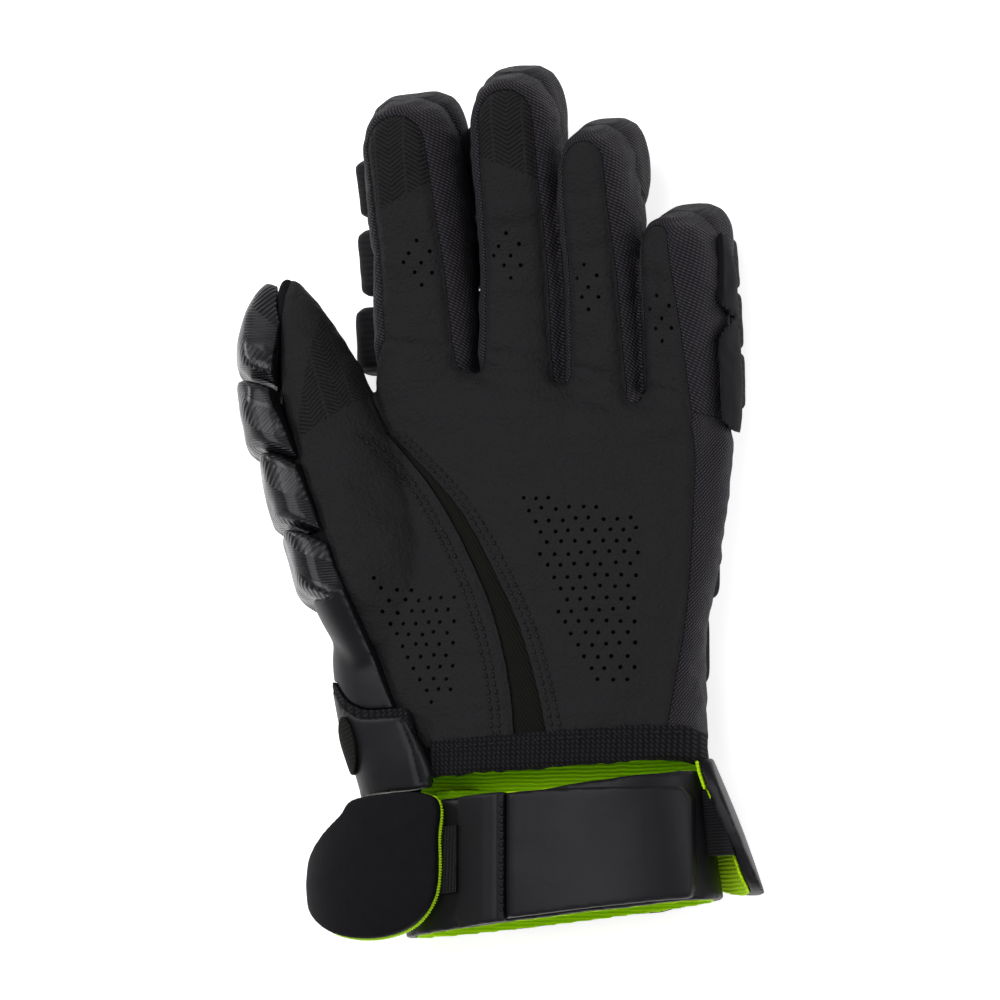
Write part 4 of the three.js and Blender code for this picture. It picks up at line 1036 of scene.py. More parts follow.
# The hand's pieces
class GLOVE_OT_hand(bpy.types.Operator):
    """The sewn hand: palm and thumb leather, gusset, finger mesh, side mesh and back"""

    bl_idname = "glove.hand"
    bl_label = "Hand"

    def execute(self, context):
        body = hand_form("hand form", 0, voxel=1.0, rounds=7)
        palm, thumb, gusset = palm_plan(0), thumb_plan(0), gusset_plan()
        self.crease(body, [*outline_of(palm), *outline_of(thumb), *outline_of(gusset)])
        cut(body, cavity())
        rise = HEM_SLANT * FAR
        low = HEM_TOP + 0.3
        above_hem = [(-FAR, low - rise), (FAR, low + rise), (FAR, FAR), (-FAR, FAR)]
        leather_half = cut(palm_side(SEAM), prism("over hem", above_hem), "INTERSECT")
        sewn = cut(palm_plan(SEAM), thumb_plan(SEAM), "UNION")
        cut(sewn, gusset_plan(SEAM), "UNION")
        cut(sewn, palm_side(), "INTERSECT")
        for plan, name, node, run in (
            (palm, "palm_leather", "palm_panel", plan_flow),
            (thumb, "thumb_leather", "thumb_panel", thumb_flow),
        ):
            piece = cut(copied(body, name), plan, "INTERSECT")
            cut(piece, leather_half, "INTERSECT", keep=True)
            self.pierce(piece)
            self.print_grip(piece)
            finish(flow(piece, run), name, finish_of("leather"), [node])
        piece = cut(copied(body, "gusset"), gusset, "INTERSECT")
        cut(piece, leather_half, "INTERSECT")
        set_points(piece, points_of(piece) - (0, 0, 0.9))
        flow(piece, plan_flow)
        finish(piece, "gusset_stretch_mesh", finish_of("stretch"), ["thumb_gusset"])
        bound = cut(hem_plan(SEAM, -SEAM), hem_plan(SEAM), "UNION")
        rest = cut(cut(body, sewn), cut(bound, palm_side(), "INTERSECT"))
        self.mesh_and_back(rest)
        return {"FINISHED"}

    def crease(self, body, lines):
        """Presses the seams in and folds the leather softly."""
        points = points_of(body)
        over = points[:, 2] > SEAMS_ABOVE
        gap = np.full(len(points), 1e9)
        gap[over] = near_lines(points[over][:, :2], lines)
        seam = -0.75 * hump(gap, 1.1) + 0.28 * hump(gap - 3.4, 1.8)
        stitched = np.full(len(points), 1e9)
        rows = [np.array(row) for row in stitch_rows(THUMB_EDGE_COLUMN) + stitch_rows(PALM_EDGE_COLUMN)]
        stitched[over] = near_lines(points[over][:, :2], rows)
        seam -= 0.45 * hump(stitched, 0.7)
        fold = hand().crease
        broad = rough(points, 26, 3.1) * fold * 1.4
        folds = rough(points, 9, 7.7, (0.5, 1.5, 1)) * fold * 0.7
        pleats = rough(points, 5.0, 1.3, (0.35, 1.3, 1)) * 0.3
        pushed(body, seam + broad + folds + pleats)

    def pierce(self, piece):
        """Punches the air holes of this piece."""
        tree = BVHTree.FromObject(piece, bpy.context.evaluated_depsgraph_get())
        chance = np.random.default_rng(5)
        spots = []
        for field in (HEEL_FIELD, THUMB_FIELD):
            low, high = np.min(field, 0), np.max(field, 0)
            for row, y in enumerate(np.arange(high[1], low[1], -HOLE_ROW)):
                for x in np.arange(low[0] + (row % 2) * HOLE_PITCH / 2, high[0], HOLE_PITCH):
                    if inside(np.array([[x], [y]]), field)[0]:
                        spots.append((x, y) + chance.uniform(-HOLE_STRAY, HOLE_STRAY, 2))
        spots += [(x + dx, y + dy) for x, y in FINGER_FIELDS for dx, dy in HOLE_GROUP]
        pins = []
        for x, y in spots:
            hit, normal, *_ = tree.ray_cast(Vector((x, y, 200)), Vector((0, 0, -1)))
            if hit and hit.z > SEAMS_ABOVE:
                pins.append(Matrix.Translation(hit) @ normal.to_track_quat("Z", "Y").to_matrix().to_4x4())
        if pins:
            bpy.ops.mesh.primitive_cylinder_add(vertices=10, radius=HOLE_RADIUS, depth=6)
            pin = alone(bpy.context.object)
            cut(piece, repeated(pin, pins, "pins"))

    def print_grip(self, piece):
        """Marks where the grip print lies: the tips of index, middle and thumb."""
        p = points_of(piece)
        value = np.zeros(len(p))
        for x, y, lean in FINGER_GRIPS:
            value[(np.abs(p[:, 0] - x) < GRIP_HALF_WIDTH) & (p[:, 1] > y + lean * (p[:, 0] - x))] = 1
        value[inside(p[:, :2].T, THUMB_GRIP)] = 1
        layer = piece.data.attributes.new("grip", "FLOAT", "POINT")
        layer.data.foreach_set("value", value.astype(np.float32))

    def fingers_zone(self, shift):
        """Everything past a slanting line across the knuckles."""
        line = 0.93 * hand().palm_length + shift
        slope = KNUCKLE_SLANT * FAR
        return prism("fingers", [(-FAR, line + slope), (FAR, line - slope), (FAR, 2 * FAR), (-FAR, 2 * FAR)])

    def thumb_zone(self, shift):
        """Everything on the thumb's side of the hand, above its heel."""
        g = hand()
        right = eased([(0.3, -0.405), (0.65, -0.47), (0.95, -0.492), (1.05, -0.5), (1.6, -0.5)], 16)
        line = [(x * g.palm_width + shift, y * g.palm_length) for y, x in right]
        return prism("thumbs", line + [(-FAR, 1.6 * g.palm_length), (-FAR, 0.3 * g.palm_length - shift)])

    def side_zone(self, low):
        """Everything on the little finger's side of the palm, above a height."""
        left = 0.3 * hand().palm_width
        return prism("side zone", [(left, -1), (FAR, -1), (FAR, FAR), (left, FAR)], low, FAR)

    def between(self, left, right):
        """Half way between two neighbouring fingers."""
        g = hand()
        left_side = left[ACROSS] * g.palm_width + g.finger_width * left[WIDTH] / 2
        return (left_side + right[ACROSS] * g.palm_width - g.finger_width * right[WIDTH] / 2) / 2

    def mesh_and_back(self, rest):
        """Parts what isn't leather into the thumb's back, the mesh stalls, the side mesh and the back."""
        g = hand()
        back = cut(copied(rest, "thumb back"), self.thumb_zone(0), "INTERSECT")
        finish(flow(back, thumb_flow), "thumb_back_fabric", finish_of("back"), ["thumb_back"])
        stalls = cut(copied(rest, "stalls"), self.fingers_zone(0), "INTERSECT")
        for i, finger in enumerate(FINGERS):
            name = finger[NAME]
            start, stop = -0.52 * g.palm_width, 0.6 * g.palm_width
            if i > 0:
                start = self.between(FINGERS[i - 1], finger) + SEAM / 2
            if i < 3:
                stop = self.between(finger, FINGERS[i + 1]) - SEAM / 2
            strip = prism("strip", [(start, 0), (stop, 0), (stop, 2 * FAR), (start, 2 * FAR)])
            piece = flow(cut(copied(stalls, name), strip, "INTERSECT"), finger_flow(finger))
            finish(piece, f"{name}_finger_mesh", finish_of("mesh"), [f"{name}_stall"])
        bpy.data.objects.remove(stalls)
        cut(cut(rest, self.fingers_zone(-SEAM)), self.thumb_zone(SEAM))
        low = g.pad + 10
        band = cut(copied(rest, "side"), self.side_zone(low), "INTERSECT")
        finish(flow(band, side_flow), "little_side_mesh", finish_of("mesh"), ["side_mesh"])
        cut(rest, self.side_zone(low - SEAM))
        finish(flow(rest, side_flow), "hand_back_fabric", finish_of("back"), ["hand_back"])


def pillow(name, place, start, stop, half_width, half_depth, low, high, taper=0.5, power=3):
    """A domed foam roll between two stations. Each end says how small it gets, over which share of the roll,
    and how bluntly. The taper says how far the width follows that."""
    rings = []
    for s, inner in [(0, 0.35), (0, 0.8), *((s, 1) for s in np.linspace(0, 1, 15)), (1, 0.8), (1, 0.35)]:
        size = 1
        for (rim, reach, blunt), near in ((low, s), (high, 1 - s)):
            size *= rim + (1 - rim) * (1 - (1 - min(near / reach, 1)) ** 2) ** blunt
        centre, heading, side, up = place(start + (stop - start) * s)
        width = half_width * (1 - taper + taper * size) * inner
        rings.append(section(centre, side, up, width, half_depth * size * inner, power, 44))
    return loft(name, rings)


class GLOVE_OT_finger_rolls(bpy.types.Operator):
    """The foam rolls on the backs of the fingers, and the mesh caps behind their tips"""

    bl_idname = "glove.finger_rolls"
    bl_label = "Finger rolls"

    def execute(self, context):
        clear = hand_form("clear", CLEAR)
        floor = prism("floor", [(-FAR, -FAR), (FAR, -FAR), (FAR, FAR), (-FAR, FAR)], 0.05, FAR)
        snug = hand_form("snug", -1)
        for finger in FINGERS:
            for roll in FINGER_ROLLS:
                self.roll(finger, roll, snug if roll[0] == "tip" else clear, floor)
        bpy.data.objects.remove(snug)
        self.side_flaps(clear)
        bpy.data.objects.remove(clear)
        bpy.data.objects.remove(floor)
        return {"FINISHED"}

    def roll(self, finger, row, under, floor):
        """One roll. The caps at the tips sit deeper and follow the finger more closely."""
        g = hand()
        name, start, stop, depth, low, high, reach = row
        tip = name == "tip"
        index = finger[NAME] == "index"
        wider = reach if index else 0 if tip else ROLL_SPREAD[finger[NAME]]
        outward = wider if tip else wider + ROLL_SHIFT[finger[NAME]]
        rise = (6 if tip else 0) - g.finger_depth / 2

        def place(share):
            centre, heading, side, up = along_finger(finger, share)
            return centre + up * rise - side * outward, heading, side, up

        width = (g.finger_width * finger[WIDTH] / 2 - 0.3) * (0.96 if tip else 1) + wider
        far = stop if tip or index else stop + ROLL_LONGER
        piece = pillow(name, place, start, far, width, g.roll_depth * depth, low, high, 1 if tip else 0.5)
        cut(cut(piece, under, keep=True), floor, "INTERSECT", keep=True)
        softened(piece, 0.9, 4)
        pushed(piece, rough(points_of(piece), 7, 2.0) * 0.35)
        flow(piece, finger_flow(finger))
        material = finish_of("mesh" if tip else "roll")
        nodes = [f"{finger[NAME]}_roll_{name}"]
        finish(piece, f"{finger[NAME]}_roll_cover_{name}", material, nodes)

    def side_flaps(self, clear):
        """The leather sewn over the little finger's outer side, one flap lapping over the other."""
        g, little = hand(), FINGERS[3]
        start = little[ACROSS] * g.palm_width + 0.2 * little[WIDTH] * g.finger_width
        low = (little[CROTCH] - 0.04) * g.palm_length
        high = little[CROTCH] * g.palm_length + 0.88 * little[LENGTH] * g.finger_length
        outline = rounded([(start + out, low + up * (high - low)) for out, up in SIDE_LEATHER], 5)
        bottom, top = knuckle_z() - 0.3 * g.finger_depth, knuckle_z() + 0.38 * g.finger_depth
        zone = prism("guard zone", outline, bottom, top)
        piece = cut(cut(finger_tube(little, SEAM + 2.8), zone, "INTERSECT"), clear, keep=True)
        softened(piece, 0.6, 5)
        points = points_of(piece)
        lap = points[:, 1] - (low + 0.55 * (high - low)) - 0.5 * (points[:, 0] - start - 12)
        step = -0.9 * hump(lap, 1.2) + 0.5 * hump(lap - 3, 2.5)
        pushed(piece, rough(points, 8, 5.0, (1, 1.4, 1)) * 0.4 + step)
        flow(piece, finger_flow(little))
        nodes = ["little_finger_guard"]
        finish(piece, "little_finger_side_leather", finish_of("side leather"), nodes)


def base_plan():
    """Plan of the smooth shell, up to the thumb leather's seam."""
    w, l = hand().palm_width, hand().palm_length
    return prism("base plan", [(x * w, y * l) for x, y in BASE_SHELL], wrist_z() - 0.25 * hand().palm_depth)


def strap_plan(rim=0.0, low=-FAR):
    """Plan of the strap, with its upper edge moved up by a rim's width."""
    w, l = hand().palm_width, hand().palm_length
    corners = [(x * w + (rim * 0.3 if y > 0.1 else 0), y * l + (rim if y > 0.1 else 0)) for x, y in STRAP]
    return prism("strap plan", rounded(corners, 5), low)


class GLOVE_OT_thumb_rolls(bpy.types.Operator):
    """The embossed foam rolls on the thumb's outer side, and the smooth panel below them"""

    bl_idname = "glove.thumb_rolls"
    bl_label = "Thumb rolls"

    def execute(self, context):
        g = hand()
        clear = hand_form("clear", CLEAR)
        base = cut(hand_form("base", SEAM + 4.5, voxel=1.6, rounds=3), base_plan(), "INTERSECT")
        cut(base, strap_plan(3.3))
        cut(base, clear, keep=True)
        leather = thumb_plan(SEAM)
        at, widths = np.array(THUMB)[:, 0], np.array(THUMB)[:, 1]
        for name, start, stop, depth, high, reach, rise in THUMB_ROLLS:

            def place(share):
                centre, heading, side, up = along_thumb(share)
                inward = reach / 2 - g.thumb_width * np.interp(share, at, widths) / 2
                middle = centre + side * inward + up * (rise / 2 - 0.12 * g.thumb_depth)
                return middle, heading, side - heading * 0.8, up

            half_width, half_depth = 12.5 * depth + reach / 2, g.thumb_depth * 0.42 + rise / 2
            taper = 1 if name == "tip" else 0.5
            piece = pillow(name, place, start, stop, half_width, half_depth, BLUNT, high, taper, 3.6)
            cut(cut(piece, clear, keep=True), leather, keep=True)
            if name == "lower":
                cut(base, piece, keep=True)
            softened(piece, 0.6, 6)
            pushed(piece, rough(points_of(piece), 9, 4.0) * 0.6)
            flow(piece, thumb_flow)
            nodes = [f"thumb_roll_{name}"]
            finish(piece, f"thumb_roll_cover_{name}", finish_of("cover"), nodes)
        softened(base, 0.8, 5)
        flow(base, thumb_flow)
        finish(base, "thumb_base_shell", finish_of("shell"), ["thumb_base_panel"])
        bpy.data.objects.remove(leather)
        bpy.data.objects.remove(clear)
        return {"FINISHED"}


class GLOVE_OT_back_pads(bpy.types.Operator):
    """The pads under the back of the hand, domed towards the floor"""

    bl_idname = "glove.back_pads"
    bl_label = "Back pads"

    def execute(self, context):
        g = hand()
        clear = hand_form("clear", CLEAR)
        for name, start, stop, pads, left, right in BACK_ROWS:
            width = ((right - left) * g.palm_width + BACK_ROW_GAP) / pads
            for i in range(pads):
                x = left * g.palm_width + i * width
                piece = self.block(x, x + width - BACK_ROW_GAP, start * g.palm_length, stop * g.palm_length)
                cut(piece, clear, keep=True)
                softened(piece, 0.9, 5)
                points = points_of(piece)
                points[:, 2] = np.maximum(points[:, 2], 0)
                set_points(piece, points)
                flow(piece, plan_flow)
                nodes = [f"{name}_pad_{i + 1}"]
                finish(piece, f"{name}_foam_pad_{i + 1}", finish_of("back"), nodes)
        bpy.data.objects.remove(clear)
        return {"FINISHED"}

    def block(self, left, right, low, high):
        """One pad from the floor up into the hand, slanted as the knuckles are."""
        g = hand()
        x, y = (left + right) / 2, (low + high) / 2
        slant = KNUCKLE_SLANT * max(0, y / g.palm_length - 0.1)
        rings = []
        for inset, z in ((9, 0), (3.2, 0), (1.6, 0.7), (0.5, 2), (0, 3.6), (0, g.pad + 0.15 * g.palm_depth)):
            half_width, half_length = (right - left) / 2 - inset, (high - low) / 2 - inset
            ring = section((x, y, z), (1, 0, 0), (0, 1, 0), half_width, half_length, 7, 48)
            ring[:, 1] -= slant * ring[:, 0]
            rings.append(ring)
        return loft("pad", rings)


class GLOVE_OT_hem(bpy.types.Operator):
    """The knitted binding along the palm's hem, and the lime lining inside the back"""

    bl_idname = "glove.hem"
    bl_label = "Hem and lining"

    def execute(self, context):
        g = hand()
        w, l = g.palm_width, g.palm_length
        piece = hand_form("hem", 1.3, voxel=1.4, rounds=3)
        cut(piece, cavity())
        cut(cut(piece, hem_plan(0.7), "INTERSECT"), palm_side(-0.3), "INTERSECT")
        softened(piece, 0.55, 3)
        points, normals = points_of(piece), normals_of(piece)
        over = np.clip((points[:, 2] - 40) / 10, 0, 1)
        lip = 0.5 * hump(points[:, 1] - HEM_SLANT * points[:, 0] - 2, 2.2)
        ripple = rough(points, 4.5, 9.0, (1.2, 0.5, 1)) * 0.85 + lip - 0.3
        points[:, 1] += 2 * over
        set_points(piece, points + normals * (ripple * over)[:, None])
        finish(flow(piece, plan_flow), "hem_knit_binding", finish_of("knit"), ["palm_hem"])
        reach = 9
        lining = hand_form("lining", -g.leather - LINING_GAP, reach, 1.4, 2)
        cut(lining, hand_form("inner", -g.leather - LINING_INSIDE, reach + 4, 1.4, 2))
        left, right, top = -0.38 * w, 0.34 * w, 0.07 * l
        wide = [(right, 1), (FAR, 1), (FAR, top), (-FAR, top), (-FAR, 1), (left, 1)]
        outline = [(left, -FAR), (right, -FAR), *wide]
        cut(lining, prism("lining zone", outline, -FAR, wrist_z() - 0.12 * g.palm_depth), "INTERSECT")
        flow(lining, plan_flow)
        finish(lining, "hand_lime_lining", finish_of("lime"), ["hand_lining"])
        return {"FINISHED"}


class GLOVE_OT_strap(bpy.types.Operator):
    """The padded strap across the thumb's base, its knitted rim and its plain badge"""

    bl_idname = "glove.strap"
    bl_label = "Thumb strap"

    def layer(self, name, bottom, top):
        """The hand's form between two distances from its skin."""
        outer = hand_form(name, top, cuff().gap, 1.4, 3)
        return cut(outer, hand_form("under " + name, bottom, cuff().gap + 2, 1.4, 3))

    def execute(self, context):
        g = hand()
        w, l = g.palm_width, g.palm_length
        low = wrist_z() - 0.33 * g.palm_depth
        top = STRAP_REST + cuff().strap_wall

        piece = cut(self.layer("strap", STRAP_REST, top), strap_plan(0, low), "INTERSECT")
        softened(piece, 0.75, 9, 0.6)
        points = points_of(piece)
        gap = near_lines(points[:, :2], [np.array(STRAP_SEAM) * (w, l)])
        pushed(piece, rough(points, 14, 2.2) * 0.4 - 0.8 * hump(gap, 1.3))
        flow(piece, side_flow)
        finish(piece, "thumb_strap_cover", finish_of("shell"), ["thumb_strap"])

        rim = cut(self.layer("rim", STRAP_REST, top - 0.6), strap_plan(3, low), "INTERSECT")
        beside = prism("beside", [(-FAR, -FAR), (FAR, -FAR), (FAR, 0.1 * l), (-FAR, 0.1 * l)])
        cut(rim, cut(strap_plan(-0.8), beside, "UNION"))
        softened(rim, 0.5, 3)
        pushed(rim, rough(points_of(rim), 1.6, 3.0) * 0.35)
        finish(flow(rim, side_flow), "strap_knit_rim", finish_of("knit"))

        badge = self.layer("badge", top - 0.5, top + 1.5)
        turn = Matrix.Rotation(math.radians(8), 2)
        middle = Vector((-0.515 * w, 0.085 * l))
        angles = np.linspace(0, 2 * math.pi, 40, endpoint=False)
        oval = [tuple(turn @ Vector((5 * math.cos(a), 11 * math.sin(a))) + middle) for a in angles]
        cut(badge, prism("badge plan", oval, wrist_z()), "INTERSECT")
        softened(badge, 0.45, 3)
        flow(badge, side_flow)
        finish(badge, "strap_plate", finish_of("stretch"), ["strap_badge"])
        return {"FINISHED"}


# The cuff
def wrap_slope(share):
    """How much the wrap's edge slants, more so further from the hand."""
    return (1 + 1.2 * share) * HEM_SLANT


def wrap_tube(grow, open_end=0.0):
    c = cuff()
    rings = []
    for share in np.linspace(0, 1, 9):
        y = -c.gap - share * c.wrap_length + (open_end if share == 0 else -open_end if share == 1 else 0)
        centre = (c.middle, y, WRAP_REST + c.wrap_depth / 2)
        half_width = (c.wrap_width + share * WRAP_FLARE) / 2 + grow
        side = (1, wrap_slope(share), 0)
        rings.append(section(centre, side, (0, 0, 1), half_width, c.wrap_depth / 2 + grow, 2.3, 96))
    return loft("wrap", rings)


def wrap_line(x, share):
    """Where a share of the wrap's length lies, at a place across the hand."""
    return -cuff().gap - share * cuff().wrap_length + wrap_slope(share) * (x - cuff().middle)


def wrap_band(left, right, top, bottom):
    """A block over part of the wrap's front, between two shares of its length."""
    lines = [wrap_line(left, top), wrap_line(left, bottom), wrap_line(right, bottom), wrap_line(right, top)]
    return prism("band", list(zip((left, left, right, right), lines)), wrist_z())


def ear_tube(grow):
    """The bowed sheet that the large ear is cut from. It lies on the wrap."""
    c = cuff()
    height = WRAP_REST + c.wrap_depth + c.ear_wall - EAR_HALF_DEPTH
    half_width, half_depth = EAR_HALF_WIDTH + grow, EAR_HALF_DEPTH + grow
    rings = []
    for y in (0, -20, -40, -60, -0.7 * c.gap - 78):
        centre = (c.middle - 4, y, height)
        rings.append(section(centre, (1, 0, 0), (0, 0, 1), half_width, half_depth, 2.3, 120))
    return loft("ear", rings)


def ear_outline():
    """The large ear's edge in plan."""
    top = -0.7 * cuff().gap
    return rounded([(EAR_INNER_EDGE - out * EAR_WIDTH, top - down * EAR_REACH) for out, down in THUMB_EAR], 6)


def ear_plan():
    return prism("ear plan", ear_outline(), 22)


def guard_tube(grow):
    """The trough under the wrist, wider further down the arm."""
    rings = []
    for y, flare in eased(GUARD_FLARE, 9)[::-1]:
        centre = (cuff().middle, y, GUARD_HALF_DEPTH)
        half_width = (GUARD_WIDTH + flare * GUARD_WIDENS) / 2 + grow
        rings.append(section(centre, (1, 0, 0), (0, 0, 1), half_width, GUARD_HALF_DEPTH + grow, 2.3, 110))
    return loft("guard", rings)


def lifted_edge(points, lift):
    """Points of the wrap with its upper edge raised in front, by the lift at its left and at its right."""
    front = np.clip((points[:, 2] - wrist_z()) / 10, 0, 1)
    near = np.clip((points[:, 1] + cuff().gap + LIFT_FADE) / LIFT_FADE, 0, 1)
    points[:, 1] += np.interp(points[:, 0], (LIFT_FROM, LIFT_TO), lift) * front * near
    return points


class GLOVE_OT_wrap(bpy.types.Operator):
    """The padded wrap round the wrist, its lining, pad and closure tab"""

    bl_idname = "glove.wrap"
    bl_label = "Wrist wrap"

    def execute(self, context):
        c = cuff()
        ring = cut(wrap_tube(0), wrap_tube(-c.wrap_wall, 2))
        softened(ring, 0.95, 6)
        points, normals = points_of(ring), normals_of(ring)
        points += normals * (rough(points, 20, 6.0) * 0.5)[:, None]
        set_points(ring, lifted_edge(points, WRAP_LIFT))
        flow(ring, cuff_flow)
        finish(ring, "wrist_wrap_cover", finish_of("shell"), ["wrist_wrap"])
        lining = cut(wrap_tube(-c.wrap_wall - LINING_GAP, 0.4), wrap_tube(-c.wrap_wall - LINING_INSIDE, 2))
        softened(lining, 0.8, 1)
        set_points(lining, lifted_edge(points_of(lining), WRAP_LIFT))
        flow(lining, cuff_flow)
        finish(lining, "wrap_lime_lining", finish_of("lime"), ["wrap_lining"])
        over = cut(wrap_tube(4.8, 1), wrap_tube(0.3, 3))
        self.pad(copied(over, "pad"))
        self.tab(over)
        return {"FINISHED"}

    def skin_height(self, x):
        """How high the wrap's front is at a place across the hand."""
        c = cuff()
        share = np.clip(np.abs((x - c.middle) / ((c.wrap_width + WRAP_FLARE / 2) / 2)), 0, 1)
        return WRAP_REST + c.wrap_depth / 2 + c.wrap_depth / 2 * (1 - share**2.3) ** (1 / 2.3) + 0.3

    def pad(self, piece):
        """The pad beside the tab, which thins out towards the thumb."""
        cut(piece, wrap_band(-24, -4, 0, 1), "INTERSECT")
        softened(piece, 0.6, 7)
        points = points_of(piece)
        skin = self.skin_height(points[:, 0])
        taper = np.clip((points[:, 0] + 25) / 13, 0.08, 1)
        points[:, 2] = np.where(points[:, 2] > skin, skin + (points[:, 2] - skin) * taper, points[:, 2])
        points[:, 2] -= VALLEY * hump(points[:, 0] - TAB_VALLEY, VALLEY)
        set_points(piece, lifted_edge(points, WRAP_LIFT))
        flow(piece, cuff_flow)
        finish(piece, "wrap_pad_cover", finish_of("shell"), ["wrap_pad"])

    def tab(self, piece):
        """The closure tab, with one rounded corner at its free end."""
        c = cuff()
        end = [(TAB_START + along * c.tab_length, -c.gap - down * c.wrap_length) for along, down in TAB_END]
        cut(piece, wrap_band(TAB_START, TAB_START + c.tab_length, 0.01, 0.98), "INTERSECT")
        cut(piece, prism("tab end", rounded(end, 1)), "INTERSECT")
        softened(piece, 0.7, 11)
        points, normals = points_of(piece), normals_of(piece)
        points[:, 2] -= VALLEY * hump(points[:, 0] - TAB_VALLEY, VALLEY)
        points += normals * (rough(points, 24, 8.0) * 0.5)[:, None]
        set_points(piece, lifted_edge(points, TAB_LIFT))
        flow(piece, cuff_flow)
        finish(piece, "closure_tab_cover", finish_of("shell"), ["closure_tab"])


class GLOVE_OT_ears(bpy.types.Operator):
    """The two ears of the cuff with their lime linings, the guard under the wrist and the elastics"""

    bl_idname = "glove.ears"
    bl_label = "Ears and guard"

    def execute(self, context):
        self.thumb_ear()
        hem_clear = hand_form("hem clear", 1.6, 0, 1.8, 3)
        trough = cut(cut(guard_tube(0), guard_tube(-GUARD_WALL)), hem_clear, keep=True)
        self.little_ear(trough, hem_clear)
        self.wrist_guard(trough)
        self.little_elastic()
        return {"FINISHED"}

    def thumb_ear(self):
        """The large ear over the wrap, its lining and the short elastic that holds it."""
        wall = cuff().ear_wall
        rim = ear_outline()
        ear = cut(cut(ear_tube(0), ear_tube(-wall)), ear_plan(), "INTERSECT")
        softened(ear, 0.8, 8)
        points, normals = points_of(ear), normals_of(ear)
        edges = [np.array([a, b]) for a, b in zip(rim, np.roll(rim, -1, 0))]
        inward = np.clip(near_lines(points[:, :2], edges), 0, EAR_DOME_WIDTH)
        dome = np.where(normals[:, 2] > 0.2, EAR_DOME, 0)
        pushed(ear, dome * np.sin(inward / EAR_DOME_WIDTH * math.pi / 2))
        flow(ear, cuff_flow)
        nodes = ["thumb_side_ear"]
        finish(ear, "thumb_side_ear_cover", finish_of("side leather"), nodes)
        skin = cut(ear_tube(-wall - LINING_GAP), ear_tube(-wall - LINING_INSIDE))
        cut(skin, ear_plan(), "INTERSECT")
        softened(skin, 0.6, 1)
        flow(skin, cuff_flow)
        finish(skin, "thumb_ear_lime_lining", finish_of("lime"), ["thumb_ear_lining"])
        clear = cut(cut(ear_tube(0.3), ear_tube(-wall - LINING_INSIDE - 0.3)), ear_plan(), "INTERSECT")
        band = cut(cut(wrap_tube(1.8, 1), wrap_tube(0.3, 3)), wrap_band(-36, -24.3, 0.14, 0.7), "INTERSECT")
        cut(band, clear)
        softened(band, 0.35, 2)
        flow(band, cuff_flow)
        finish(band, "thumb_side_elastic_band", finish_of("elastic"), ["thumb_side_elastic"])

    def ear_side(self):
        """The little finger's ear seen from its side, as a block across the hand."""
        outline = rounded([(-down * GUARD_REACH, high * GUARD_HALF_DEPTH) for down, high in LITTLE_EAR], 5)
        return prism("ear side", outline, cuff().middle + LITTLE_EAR_START, FAR, "X")

    def little_ear(self, trough, hem_clear):
        """The ear on the little finger's side, and its lining."""
        ear = cut(copied(trough, "little ear"), self.ear_side(), "INTERSECT")
        softened(ear, 0.8, 6)
        flow(ear, side_flow)
        finish(ear, "little_side_ear_cover", finish_of("shell"), ["little_side_ear"])
        skin = cut(guard_tube(-GUARD_WALL - LINING_GAP), guard_tube(-GUARD_WALL - LINING_INSIDE))
        cut(cut(skin, hem_clear), self.ear_side(), "INTERSECT")
        cut(skin, prism("rim", [(0, -35), (FAR, -35), (FAR, -6), (0, -6)], 46))
        softened(skin, 0.6, 1)
        flow(skin, side_flow)
        finish(skin, "little_ear_lime_lining", finish_of("lime"), ["little_ear_lining"])

    def wrist_guard(self, trough):
        """The guard under the wrist, embossed outside and lime inside."""
        middle = cuff().middle - SEAM
        outline = [(middle + across * GUARD_WIDTH, -2 - down * GUARD_REACH) for across, down in WRIST_GUARD]
        back = cut(trough, prism("back plan", outline, -1, 24), "INTERSECT")
        softened(back, 0.9, 6)
        flow(back, plan_flow)
        finish(back, "wrist_guard_cover", finish_of("cover"), ["cuff_back"])
        back.data.materials.append(finish_of("lime"))
        for face in back.data.polygons:
            face.material_index = 1 if face.normal.z > 0.3 else 0

    def little_elastic(self):
        """The elastic from the wrap up to the little finger's ear."""
        strip = prism("strip", [(59, -30), (62, -30), (90, -30), (90, -6), (62, -6), (59, -6)], 40.6, 42.1)
        points = points_of(strip)
        points[:, 2] += np.clip(points[:, 0] - 62, 0, 99) * 0.6
        set_points(strip, points)
        cut(cut(strip, wrap_tube(0.3, 3)), guard_tube(-4), "INTERSECT")
        softened(strip, 0.35, 2)
        flow(strip, band_flow)
        finish(strip, "little_side_elastic_band", finish_of("elastic"), ["little_side_elastic"])


